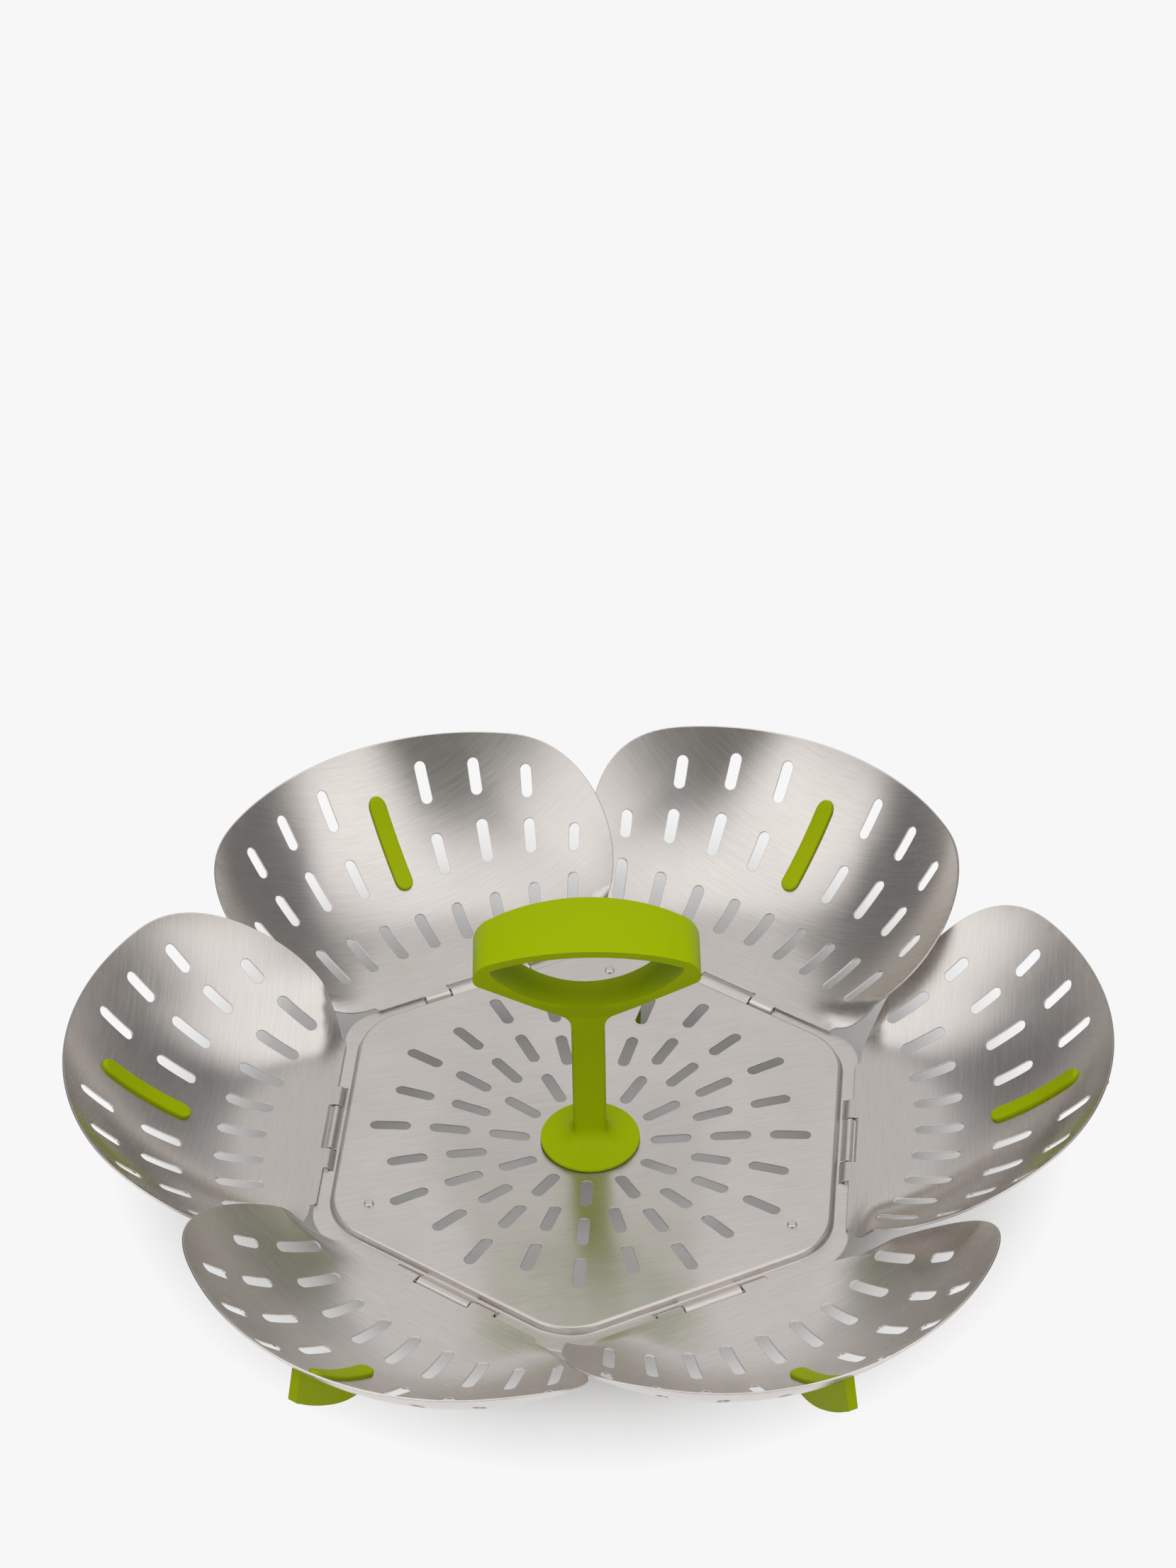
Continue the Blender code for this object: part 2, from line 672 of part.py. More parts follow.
def petal_slots(bm):
    """Adds the cutters of a petal's slots."""
    rows = [(ray, LOWER_ROW_SHARE, 1.0) for ray in range(-LOWER_ROW_RAYS, LOWER_ROW_RAYS + 1)]
    for shares in (MIDDLE_ROW_SHARES, UPPER_ROW_SHARES):
        for ray, (reach_share, length_share) in enumerate(shares, start=1):
            rows += [(ray, reach_share, length_share), (-ray, reach_share, length_share)]
    for ray, reach_share, length_share in rows:
        place = ray_place(ray, RAY_REACH * reach_share)
        length = PETAL_SLOT_LENGTH * length_share
        add_slot(bm, place, length, SLOT_WIDTH, -OVERRUN, OVERRUN)
    add_slot(bm, ray_place(0, RAY_REACH * STRIP_SHARE), PLUG_SLOT_LENGTH, SLOT_WIDTH, -OVERRUN, OVERRUN)


def make_petal_mesh(cutters):
    """The mesh that all petals share, with its origin on the hinge axis."""
    petal = mesh_object("petal_sheet", petal_surface(), cutters)
    thicken(petal, SHEET, -1)
    holes = bmesh.new()
    petal_slots(holes)
    petal = combine(petal, [mesh_object("petal_holes", holes, cutters)], "DIFFERENCE")
    finish(petal, steel("petal_steel"))
    return take_mesh(petal)


def take_mesh(obj):
    """Removes an object and keeps its mesh for the copies."""
    mesh = obj.data
    bpy.data.objects.remove(obj, do_unlink=True)
    return mesh


def facet_line():
    """The sheet's facets along the middle ray, as heights over places out from the hinge axis."""
    lines = petal_lines()
    outs, heights = [], []
    for share in ROW_SHARES:
        ends = (MIDDLE_COLUMN, MIDDLE_COLUMN + 1)
        right, left = [petal_point(grid_place(lines, column, share)) for column in ends]
        across = (BOWL_SIDE - right.y) / (left.y - right.y)
        point = right.lerp(left, across)
        outs.append(point.x)
        heights.append(point.z)
    return outs, heights


def facet_frame(facets, out, side):
    """Frame like petal_frame, but lifted from the true bowl onto the sheet's facets."""
    frame = petal_frame(out, side)
    frame.translation.z = float(np.interp(out, *facets))
    return frame


def strip_surface(facets):
    """Underside of the foot's strip, following the petal's top face."""
    half = STRIP_WIDTH / 2
    start = RAY_REACH * STRIP_SHARE - FOCUS_IN - STRIP_LENGTH / 2
    ends = [(half * back, half * wide) for back, wide in STRIP_END_SHARES]
    bends = [(out - start, half) for out in facets[0] if half < out - start < STRIP_LENGTH - half]
    stations = ends + bends + [(STRIP_LENGTH - back, wide) for back, wide in reversed(ends)]
    bm, grid = make_grid(1, len(stations) - 1)
    for (column, row), vert in grid.items():
        back, wide = stations[row]
        side = BOWL_SIDE + (wide if column else -wide)
        vert.co = facet_frame(facets, start + back, side) @ Vector((0, 0, GAP))
    return bm


def fin_outline(facets):
    """The fin from the side: out from the axis, and up; its top follows the sheet's underside."""
    under = Vector((0, 0, -SHEET - GAP))
    end = FIN_START + FIN_LENGTH * FIN_TOP_SHARE
    outline = []
    for out in [FIN_START, *[out for out in facets[0] if FIN_START < out < end], end]:
        point = petal_frame(out, BOWL_SIDE) @ under
        outline.append((point.x, point.z))
    for out_share, depth_share in reversed(FIN_EDGE_SHARES):
        out = FIN_START + FIN_LENGTH * out_share
        outline.append((out, petal_height(out, BOWL_SIDE) - FIN_DEPTH * depth_share))
    return outline


def make_foot_mesh(cutters):
    """The mesh that all petal feet share: strip, plug and fin in one moulding."""
    facets = facet_line()
    strip = mesh_object("strip", strip_surface(facets), cutters)
    thicken(strip, STRIP_HEIGHT, 1)
    plug = bmesh.new()
    width = SLOT_WIDTH - 2 * GAP
    deep = SHEET + 2 * GAP + STRIP_HEIGHT / 2
    place = ray_place(0, RAY_REACH * STRIP_SHARE)
    add_slot(plug, place, PLUG_SLOT_LENGTH - 2 * GAP, width, -deep, STRIP_HEIGHT)
    fin = outline_object("petal_foot", [fin_outline(facets)], width, cutters)
    fin.matrix_world = Matrix.Translation((0, BOWL_SIDE, 0)) @ Matrix.Rotation(math.pi / 2, 4, "X")
    foot = settle(fin)
    foot.data.transform(foot.matrix_world)
    foot.matrix_world = Matrix.Identity(4)
    tools = [settle(strip), mesh_object("plug", plug, cutters)]
    foot = combine(foot, tools, "UNION")
    finish(foot, lime_silicone("foot_silicone"))
    return take_mesh(foot)


def make_pin_mesh(cutters):
    """The mesh that all hinge pins share."""
    length = TAB_WIDTH + 2 * (HINGE_GAP + TONGUE_WIDTH - PIN_INSET)
    bpy.ops.mesh.primitive_cylinder_add(vertices=PIN_SIDES, radius=PIN_RADIUS, depth=length)
    pin = bpy.context.object
    pin.data.transform(Matrix.Translation((0, HINGE_SIDE, 0)) @ Matrix.Rotation(math.pi / 2, 4, "X"))
    finish(pin, steel("pin_steel"))
    return take_mesh(pin)


def make_petals(collection, cutters):
    """Six petals, each with its silicone foot and its hinge pin."""
    petal_mesh = make_petal_mesh(cutters)
    foot_mesh = make_foot_mesh(cutters)
    pin_mesh = make_pin_mesh(cutters)
    for i in range(PETALS):
        turn = Matrix.Rotation(PETAL_STEP * i, 4, "Z")
        hinge = turn @ Matrix.Translation((HINGE_RADIUS, 0, HINGE_HEIGHT))
        petal = add_object(f"petal_{i + 1}", petal_mesh, collection)
        petal.matrix_world = hinge
        foot = add_object(f"petal_foot_{i + 1}", foot_mesh, collection)
        foot.parent = petal
        pin = add_object(f"hinge_pin_{i + 1}", pin_mesh, collection)
        pin.matrix_world = hinge


def stem_section(share, radius):
    """A section of the handle's foot: from a circle at share 0 to the flat stem at share 1."""
    points = []
    half_width, half_depth = STEM_WIDTH / 2, STEM_DEPTH / 2
    for i in range(FOOT_SIDES):
        angle = math.tau * (i + 0.5) / FOOT_SIDES
        cos, sin = math.cos(angle), math.sin(angle)
        flat = min(half_width / abs(cos), half_depth / abs(sin))
        corner = math.hypot(half_width, half_depth) - STEM_CORNER / 2
        flat = min(flat, corner)
        reach = radius * (1 - share) + flat * share
        points.append((reach * cos, reach * sin))
    return points


def make_stem(cutters):
    """Round foot that sweeps up into the flat stem, lofted between unlike sections."""
    sections = [(0.0, DISC_RADIUS, 0.0), (DISC_EDGE, DISC_RADIUS, 0.0)]
    for i in range(1, FOOT_STEPS + 1):
        angle = math.pi / 2 * i / FOOT_STEPS
        drop = 1 - math.sin(angle)
        radius = STEM_DEPTH / 2 + (DISC_RADIUS - STEM_DEPTH / 2) * drop
        height = DISC_EDGE + (FOOT_HEIGHT - DISC_EDGE) * (1 - math.cos(angle))
        sections.append((height, radius, math.sin(angle) ** 2))
    sections.append((GRIP_BASE + GRIP_WALL / 2, STEM_DEPTH / 2, 1.0))
    bm = bmesh.new()
    loops = []
    for height, radius, share in sections:
        loops.append([bm.verts.new((x, y, height)) for x, y in stem_section(share, radius)])
    for lower, upper in zip(loops, loops[1:]):
        skin(bm, upper, lower)
    bm.faces.new(loops[0])
    bm.faces.new(loops[-1])
    bmesh.ops.recalc_face_normals(bm, faces=bm.faces)
    return mesh_object("stem", bm, cutters)


def grip_outline():
    """The grip from the front, with the stem's fillets; heights run from the grip's base."""
    top_centre = (0, GRIP_HEIGHT - GRIP_TOP_RADIUS)
    half = GRIP_HALF_WIDTH
    lean = math.asin((half - GRIP_CORNER) / GRIP_TOP_RADIUS)
    shoulder = arc(top_centre, GRIP_TOP_RADIUS, math.pi / 2 - lean, math.pi / 2, ARC_STEPS)
    meet = (half, GRIP_HEIGHT - GRIP_TOP_RADIUS + math.sqrt(GRIP_TOP_RADIUS**2 - half**2))
    low = (half, meet[1] - GRIP_END_WALL)
    stem = (STEM_WIDTH / 2, 0)
    bottom = (STEM_WIDTH / 2, -STEM_FILLET)
    right = [bottom]
    right += rounded_corner(bottom, stem, low, STEM_FILLET, FILLET_STEPS)
    right += rounded_corner(stem, low, meet, GRIP_LOWER_CORNER, FILLET_STEPS)
    right += rounded_corner(low, meet, shoulder[1], GRIP_CORNER, SHOULDER_STEPS)
    right += shoulder[1:]
    left = [(-x, y) for x, y in right[-2::-1]]
    return right + left


def hoop_outline():
    """The opening of the grip from the front: flat arch above, round floor below."""
    ceiling_radius = GRIP_TOP_RADIUS - GRIP_WALL
    ceiling = GRIP_HEIGHT - GRIP_TOP_RADIUS
    floor = HOOP_FLOOR_HEIGHT + HOOP_FLOOR_RADIUS
    rise = floor - ceiling
    meet = (ceiling_radius**2 - HOOP_FLOOR_RADIUS**2 + rise**2) / (2 * rise)
    half = math.sqrt(ceiling_radius**2 - meet**2) - HOOP_END_ROOM
    up = math.asin(half / ceiling_radius)
    down = math.asin(half / HOOP_FLOOR_RADIUS)
    roof = arc((0, ceiling), ceiling_radius, math.pi / 2 - up, math.pi / 2 + up, 2 * ARC_STEPS)
    base = arc((0, floor), HOOP_FLOOR_RADIUS, -math.pi / 2 - down, -math.pi / 2 + down, 2 * ARC_STEPS)
    return roof + base


def depth_outline():
    """The grip from the side: half depth grows from the stem to the top."""
    low = -STEM_FILLET
    tall = GRIP_HEIGHT + OVERRUN
    shares = [(low, GRIP_DEPTH_SHARES[0][1])]
    shares += [(GRIP_HEIGHT * height, deep) for height, deep in GRIP_DEPTH_SHARES[1:]]
    shares.append((tall, GRIP_DEPTH_SHARES[-1][1]))
    right = [(GRIP_DEPTH_TOP / 2 * deep, height) for height, deep in shares]
    return right + [(-x, y) for x, y in reversed(right)]


def make_handle(collection, cutters):
    """Foot, stem and hoop of the handle, in one moulding."""
    upright = Matrix.Rotation(math.pi / 2, 4, "X")
    lift = Matrix.Translation((0, 0, GRIP_BASE))
    grip = outline_object("handle", [grip_outline(), hoop_outline()], GRIP_DEPTH_TOP + OVERRUN, cutters)
    grip.matrix_world = lift @ upright
    side = outline_object("grip_side", [depth_outline()], GRIP_HALF_WIDTH * 2 + OVERRUN, cutters)
    side.matrix_world = lift @ Matrix.Rotation(math.pi / 2, 4, "Z") @ upright
    grip = combine(settle(grip), [settle(side)], "INTERSECT")
    round_edges(grip, GRIP_BEVEL, 1)
    grip = settle(grip)
    handle = combine(grip, [make_stem(cutters)], "UNION")
    hole = bmesh.new()
    place = Matrix.Identity(4)
    depth = SCREW_LENGTH - WASHER_THICKNESS - SHEET - GAP
    add_slot(hole, place, SCREW_HOLE * 2, SCREW_HOLE * 2, -OVERRUN, depth)
    handle = combine(handle, [mesh_object("screw_hole", hole, cutters)], "DIFFERENCE")
    handle.data.transform(handle.matrix_world)
    mesh = take_mesh(handle)
    handle = add_object("handle", mesh, collection)
    handle.matrix_world = Matrix.Translation((0, 0, SEAT_HEIGHT + GAP)) @ Matrix.Rotation(HANDLE_TURN, 4, "Z")
    finish(handle, lime_nylon("handle_nylon"), GRIP_SMOOTH_ANGLE)


def make_screw_and_washer(collection):
    """The screw that comes up through the plate into the stem, and its washer."""
    washer_top = SEAT_HEIGHT - SHEET - GAP
    washer_low = washer_top - WASHER_THICKNESS
    ring = [(SCREW_HOLE, washer_top), (WASHER_RADIUS, washer_top)]
    ring += [(WASHER_RADIUS, washer_low), (SCREW_HOLE, washer_low), (SCREW_HOLE, washer_top)]
    washer = settle(turned("handle_washer", ring, SCREW_STEPS, collection))
    finish(washer, steel("washer_steel"))
    head_top = washer_low - GAP
    head_low = head_top - SCREW_HEAD_HEIGHT
    tip = head_top + SCREW_LENGTH
    profile = [
        (0, tip),
        (SCREW_RADIUS - SCREW_CHAMFER, tip),
        (SCREW_RADIUS, tip - SCREW_CHAMFER),
        (SCREW_RADIUS, head_top),
        (SCREW_HEAD_RADIUS, head_top),
        (SCREW_HEAD_RADIUS, (head_top + head_low) / 2),
        (SCREW_HEAD_RADIUS - SCREW_HEAD_HEIGHT / 2, head_low),
        (0, head_low),
    ]
    screw = settle(turned("handle_screw", profile, SCREW_STEPS, collection))
    finish(screw, steel("screw_steel"))


def leg_path():
    """The leg from the side, as places of its outer face: out from the rivet, and up from the table."""
    top = STAND_HEIGHT - SHEET - GAP
    centre = (LEG_REACH - LEG_BEND, top - LEG_BEND)
    bend = arc(centre, LEG_BEND, math.pi / 2, 0, BEND_STEPS)
    return [(-LEG_REACH, top), *bend, (LEG_REACH, TIP_FLOOR + GAP)]


def make_leg_mesh(cutters):
    """The mesh that all legs share: a strip bent from under the rivet down to the tip."""
    path = leg_path()
    bm, grid = make_grid(1, len(path) - 1)
    for (column, row), vert in grid.items():
        out, height = path[row]
        vert.co = (out, (column - 0.5) * LEG_WIDTH, height)
    leg = mesh_object("leg", bm, cutters)
    thicken(leg, LEG_SHEET, -1)
    hole = bmesh.new()
    place = Matrix.Translation((0, 0, STAND_HEIGHT))
    add_slot(hole, place, RIVET_HOLE * 2, RIVET_HOLE * 2, -OVERRUN, 0)
    leg = combine(leg, [mesh_object("leg_hole", hole, cutters)], "DIFFERENCE")
    finish(leg, steel("leg_steel"))
    return take_mesh(leg)


def box_object(name, size, centre, collection):
    """A box of the given size and centre."""
    bm = bmesh.new()
    bmesh.ops.create_cube(bm, size=1)
    for vert in bm.verts:
        vert.co = Vector([c * s for c, s in zip(vert.co, size)]) + Vector(centre)
    return mesh_object(name, bm, collection)


def make_tip_mesh(cutters):
    """The mesh that all leg tips share: a rounded silicone boot with a pocket for the strip."""
    middle = LEG_REACH - LEG_SHEET / 2
    tip = box_object("tip", (TIP_DEPTH, TIP_WIDTH, TIP_HEIGHT), (middle, 0, TIP_HEIGHT / 2), cutters)
    round_edges(tip, TIP_ROUNDING, 1)
    pocket_height = TIP_HEIGHT - TIP_FLOOR + OVERRUN
    size = (LEG_SHEET + 2 * GAP, LEG_WIDTH + 2 * GAP, pocket_height)
    pocket = box_object("pocket", size, (middle, 0, TIP_FLOOR + pocket_height / 2), cutters)
    tip = combine(tip, [pocket], "DIFFERENCE")
    finish(tip, lime_silicone("tip_silicone"))
    return take_mesh(tip)


def make_rivet_mesh(cutters):
    """The mesh that all rivets share: domed head, shank and closed head."""
    head = STAND_HEIGHT + GAP
    foot = STAND_HEIGHT - 2 * GAP - SHEET - LEG_SHEET - GAP
    low = foot - RIVET_HEAD_HEIGHT * RIVET_CLOSED_SHARE
    profile = [(RIVET_HEAD_RADIUS * out, head + RIVET_HEAD_HEIGHT * up) for out, up in RIVET_DOME_SHARES]
    profile += [(RIVET_HEAD_RADIUS, head), (RIVET_RADIUS, head), (RIVET_RADIUS, foot)]
    profile += [(RIVET_HEAD_RADIUS, foot), (RIVET_HEAD_RADIUS, low), (0, foot - RIVET_HEAD_HEIGHT)]
    rivet = settle(turned("rivet", profile, RIVET_STEPS, cutters))
    finish(rivet, steel("rivet_steel"))
    return take_mesh(rivet)


def make_legs(collection, cutters):
    """Three legs under the corners of the plate, with their tips and rivets."""
    meshes = {"leg": make_leg_mesh(cutters), "leg_tip": make_tip_mesh(cutters)}
    meshes["leg_rivet"] = make_rivet_mesh(cutters)
    for i in range(LEGS):
        turn = Matrix.Rotation(LEG_TURN + LEG_STEP * i, 4, "Z")
        for name, mesh in meshes.items():
            piece = add_object(f"{name}_{i + 1}", mesh, collection)
            piece.matrix_world = turn @ Matrix.Translation((RIVET_CIRCLE, 0, 0))


def main():
    clear_scene()
    basket = make_collection("folding_steamer_basket")
    cutters = make_collection("cutters")
    make_floor_plate(basket, cutters)
    make_petals(basket, cutters)
    make_handle(basket, cutters)
    make_screw_and_washer(basket)
    make_legs(basket, cutters)


main()
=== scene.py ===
# Looks of the folding steamer basket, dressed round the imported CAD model.
# Metres, +Z up, in the CAD model's frame: petal 1 opens along +X.

import math

import bmesh
import bpy
import numpy as np
from mathutils import Matrix, Vector
from mathutils.geometry import delaunay_2d_cdt


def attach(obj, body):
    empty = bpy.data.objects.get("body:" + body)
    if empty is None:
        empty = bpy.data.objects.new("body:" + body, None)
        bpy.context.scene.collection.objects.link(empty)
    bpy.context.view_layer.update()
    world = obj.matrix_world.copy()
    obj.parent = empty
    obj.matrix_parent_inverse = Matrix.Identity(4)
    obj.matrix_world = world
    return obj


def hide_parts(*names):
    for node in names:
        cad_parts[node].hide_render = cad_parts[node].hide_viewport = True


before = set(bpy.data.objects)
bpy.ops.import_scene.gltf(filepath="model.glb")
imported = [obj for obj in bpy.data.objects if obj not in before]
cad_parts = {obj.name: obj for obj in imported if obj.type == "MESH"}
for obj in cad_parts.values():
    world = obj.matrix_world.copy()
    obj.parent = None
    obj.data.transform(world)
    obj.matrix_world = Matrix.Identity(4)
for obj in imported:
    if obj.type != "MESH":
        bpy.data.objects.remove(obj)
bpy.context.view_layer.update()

# Counts and directions
PETALS = 6
LEGS = 3
PETAL_STEP = math.tau / PETALS
HALF_STEP = PETAL_STEP / 2
LEG_STEP = math.tau / LEGS
LEG_TURN = math.radians(90)
HANDLE_TURN = math.radians(5.6)

# Fits and sheet
GAP = 0.0003
STAND_HEIGHT = 0.022
SHEET = 0.0005
EDGE = 0.00013
EDGE_STEPS = 3

# Meshing
MESH_SPACING = 0.0022
OUTLINE_SPACING = 0.0012
CLEAR_SHARE = 0.55
SLOT_STEPS = 10
PROBE = 0.00001
MERGE = 1e-9
WELD = 1e-7
MITRE_LEAST = 0.5

# Floor plate
PANEL_APOTHEM = 0.0615
PANEL_CORNER = 0.016
DISH_RADIUS = 0.050
DISH_DEPTH = 0.0037
SLOT_WIDTH = 0.0029
PLATE_SLOT_LENGTH = 0.0100
PLATE_SLOT_TURN = math.radians(2)
PLATE_SPOKES = 24
PLATE_SLOT_LAND = 0.0048
PLATE_SLOT_STEP = PLATE_SLOT_LENGTH + PLATE_SLOT_LAND
PLATE_SLOT_STAGGER = 0.0036
INNER_SLOT_RADIUS = 0.0200
MIDDLE_SLOT_RADIUS = INNER_SLOT_RADIUS + PLATE_SLOT_STEP
MIDDLE_SLOT_RADII = (MIDDLE_SLOT_RADIUS, MIDDLE_SLOT_RADIUS - PLATE_SLOT_STAGGER)
OUTER_SLOT_RADII = tuple(radius + PLATE_SLOT_STEP for radius in MIDDLE_SLOT_RADII)
PLATE_GRAIN_TURN = math.radians(18)

# Rolled hinge
PIN_RADIUS = 0.0007
KNUCKLE_RADIUS = PIN_RADIUS + GAP + SHEET
HINGE_ROOM = 0.0010
HINGE_RADIUS = PANEL_APOTHEM + KNUCKLE_RADIUS + HINGE_ROOM
HINGE_DROP = 0.0010
HINGE_HEIGHT = STAND_HEIGHT - HINGE_DROP - KNUCKLE_RADIUS
HINGE_SIDE = 0.0021
TAB_WIDTH = 0.0150
TONGUE_WIDTH = 0.0066
HINGE_GAP = 0.0004
PIN_INSET = 0.0002
CURL_SWEEP = math.radians(280)
CURL_STEPS = 24
PIN_CHAMFER = 0.00015

# Flange of the plate, and the rounded step that leads down to it
REST_GAP = 0.00045
FLANGE_HEIGHT = HINGE_HEIGHT + KNUCKLE_RADIUS - SHEET - REST_GAP
FLANGE_DROP = STAND_HEIGHT - FLANGE_HEIGHT
FLANGE_LAP = 0.0012
FLANGE_APOTHEM = HINGE_RADIUS + FLANGE_LAP
FLANGE_CORNER = 0.012
NOTCH_APOTHEM = HINGE_RADIUS - KNUCKLE_RADIUS - HINGE_GAP
NOTCH_HALF = TAB_WIDTH / 2 + TONGUE_WIDTH + 2 * HINGE_GAP
STEP_ANGLE = math.radians(72)
STEP_TOP_RADIUS = 0.0009
STEP_FOOT_RADIUS = 0.00035
STEP_FOOT_OUT = 0.00012

# Petal bowl
BOWL_RADIUS = 0.0789
BOWL_IN = 0.0045
BOWL_SIDE = 0.0064
BOWL_SINK = 0.0052
BOWL_HEIGHT = BOWL_RADIUS - BOWL_SINK
FLAT_SOFTNESS = 0.0020
FLAT_LENGTH = 0.0080

# Petal outline
CORNER_ROOM = 0.00695
PETAL_HALF_WIDTH = HINGE_RADIUS * math.tan(HALF_STEP) - CORNER_ROOM
WINDOW_OUT = KNUCKLE_RADIUS + HINGE_GAP
PETAL_EDGE = 0.0005
EDGE_CORNER = 0.0010
RIM_SHARE = 0.8555
RIM_RADIUS = BOWL_RADIUS * RIM_SHARE
PETAL_REACH = RIM_RADIUS - BOWL_IN
LEAD_SIDE = {"leave": math.radians(-79.9), "pull": 0.0171, "meet": math.radians(-34.3), "ease": 0.0264}
TRAIL_SIDE = {"leave": math.radians(96.3), "pull": 0.0154, "meet": math.radians(37.7), "ease": 0.0369}

# Petal slots
FOCUS_IN = 0.060
RAY_STEP = math.radians(6.8)
PETAL_SLOT_LENGTH = 0.0122
LOWER_ROW_RAYS = 4
LOWER_ROW_SHARE = 0.668
MIDDLE_ROW_SHARES = ((0.817, 0.93), (0.817, 0.97), (0.802, 0.77), (0.776, 0.62))
UPPER_ROW_SHARES = ((0.934, 0.93), (0.920, 0.80), (0.889, 0.72))
RAY_REACH = FOCUS_IN + PETAL_REACH

# Petal foot
STRIP_LENGTH = 0.0204
STRIP_WIDTH = 0.0045
STRIP_HEIGHT = 0.0010
STRIP_SHARE = 0.854
STRIP_ROUNDING = 0.0005
STRIP_TIP = 0.00003
STRIP_ROUNDING_SHARE = 0.9
FIN_SHARE = 0.444
FIN_LENGTH = PETAL_REACH * FIN_SHARE
FIN_START = PETAL_REACH - FIN_LENGTH
FIN_DEPTH = 0.0124
FIN_BACK_SHARES = ((0.06, 0.22), (0.18, 0.45), (0.42, 0.65), (0.68, 0.78))
FIN_FRONT_SHARES = ((0.86, 0.90), (0.95, 0.97), (1.0, 1.05), (0.98, 0.84))
FIN_TOP_SHARE = 0.90
FIN_ROUNDING = 0.0009

# Handle; the disc's roundings are heights from its face and insets
DISC_RADIUS = 0.0123
DISC_EDGE = 0.0009
DISC_FOOT_ROUNDING = ((0.0, 0.00025), (0.0001, 0.00006), (0.0003, 0.0))
DISC_TOP_ROUNDING = ((0.0003, 0.0), (0.0001, 0.00008))
FOOT_HEIGHT = 0.0090
FOOT_STEPS = 16
FOOT_SIDES = 72
STEM_WIDTH = 0.0082
STEM_DEPTH = 0.0060
STEM_CORNER = 0.0012
GRIP_BASE = 0.0424
GRIP_HEIGHT = 0.0278
GRIP_HALF_WIDTH = 0.0273
GRIP_TOP_RADIUS = 0.058
GRIP_WALL = 0.0026
GRIP_CORNER = 0.0065
GRIP_LOWER_CORNER = 0.0030
GRIP_END_WALL = 0.0060
HOOP_FLOOR_RADIUS = 0.0268
HOOP_FLOOR_HEIGHT = 0.0056
HOOP_END_ROOM = 0.00065
STEM_FILLET = 0.0040
GRIP_BEVEL = 0.00125
GRIP_DEPTH_TOP = 0.0200
GRIP_DEPTH_SHARES = ((0.0, 0.30), (0.20, 0.46), (0.67, 0.75), (0.81, 0.82), (1.0, 1.0))
GRIP_TOOL_DEPTH = GRIP_DEPTH_TOP * 1.2
GRIP_TOOL_WIDTH = GRIP_HALF_WIDTH * 2.2
GRIP_TOOL_HEIGHT = GRIP_HEIGHT * 1.2

# Screw, washer, legs, tips and rivets
SCREW_RADIUS = 0.0020
SCREW_LENGTH = 0.0140
SCREW_HEAD_RADIUS = 0.0038
SCREW_HEAD_HEIGHT = 0.0024
SCREW_CHAMFER = 0.0005
SCREW_DOME_SHARE = 0.75
RECESS_SIZE = (0.0038, 0.0008, 0.0028)
RECESS_END_SHARE = 10 / 19
WASHER_RADIUS = 0.0060
WASHER_THICKNESS = 0.0008
WASHER_CHAMFER = 0.0001
SEAT_MARGIN = 0.0006
RIVET_LAND = 0.0049
RIVET_CIRCLE = OUTER_SLOT_RADII[0] + PLATE_SLOT_LENGTH / 2 + RIVET_LAND
RIVET_RADIUS = 0.0006
RIVET_HEAD_RADIUS = 0.0012
RIVET_HEAD_HEIGHT = 0.0006
RIVET_FLAT_SHARE = 0.6
RIVET_RIM_SHARE = 0.35
RIVET_DOME_SHARE = 0.62
LEG_SHEET = 0.0010
LEG_WIDTH = 0.0120
LEG_REACH = 0.0045
LEG_BEND = 0.0020
LEG_ROUNDING = 0.0002
TIP_SIDE_WALL = 0.0012
TIP_FRONT_WALL = 0.0017
TIP_WIDTH = LEG_WIDTH + 2 * (GAP + TIP_SIDE_WALL)
TIP_DEPTH = LEG_SHEET + 2 * (GAP + TIP_FRONT_WALL)
TIP_HEIGHT = 0.0085
TIP_FLOOR = 0.0015
TIP_ROUNDING = 0.0012

# Finishes: texture scales are per metre, along, across and square to the brushing where there are three
STEEL_DARK = (0.585, 0.55, 0.523, 1.0)
STEEL_LIGHT = (0.775, 0.73, 0.697, 1.0)
FINE_STREAKS = (150.0, 4200.0, 2500.0)
WIDE_STREAKS = (60.0, 1500.0, 900.0)
STEEL_CLOUDS = 45.0
STREAK_BUMP = 0.11
STREAK_DEPTH = 0.00001
PLATE_ROUGH = (0.27, 0.35)
PETAL_ROUGH = (0.22, 0.30)
SMALL_ROUGH = (0.25, 0.33)
LIME_CLOUDS = 120.0
GRAIN_DEPTH = 0.00002
NOISE_RANGE = (0.3, 0.7)

# Lime finishes: light and dark colour, range of roughness, scale and strength of the fine texture
NYLON = ((0.345, 0.45, 0.0, 1.0), (0.325, 0.425, 0.0, 1.0), (0.36, 0.46), 2500.0, 0.15)
SILICONE = ((0.31, 0.39, 0.0, 1.0), (0.29, 0.37, 0.0, 1.0), (0.48, 0.58), 3500.0, 0.2)

# Camera: the photograph's size, its focal length in its pixels, and its pose
PHOTO_WIDTH = 1659
PHOTO_HEIGHT = 2212
FOCAL_PIXELS = 6351
SENSOR = 36.0
PITCH = math.radians(39.22)
ROLL = math.radians(1.13)
DISTANCE = 1.1151
CENTRE_PIXEL = (832.5, 1593.7)

# Lamps: azimuth from straight behind, tilt from overhead, spread, and level on a face turned to the lamp
LAMPS = (
    ("overhead", 0, 2, 64, 0.65),
    ("front", 180, 50, 60, 0.32),
    ("dome", 0, 0, 176, 0.15),
)

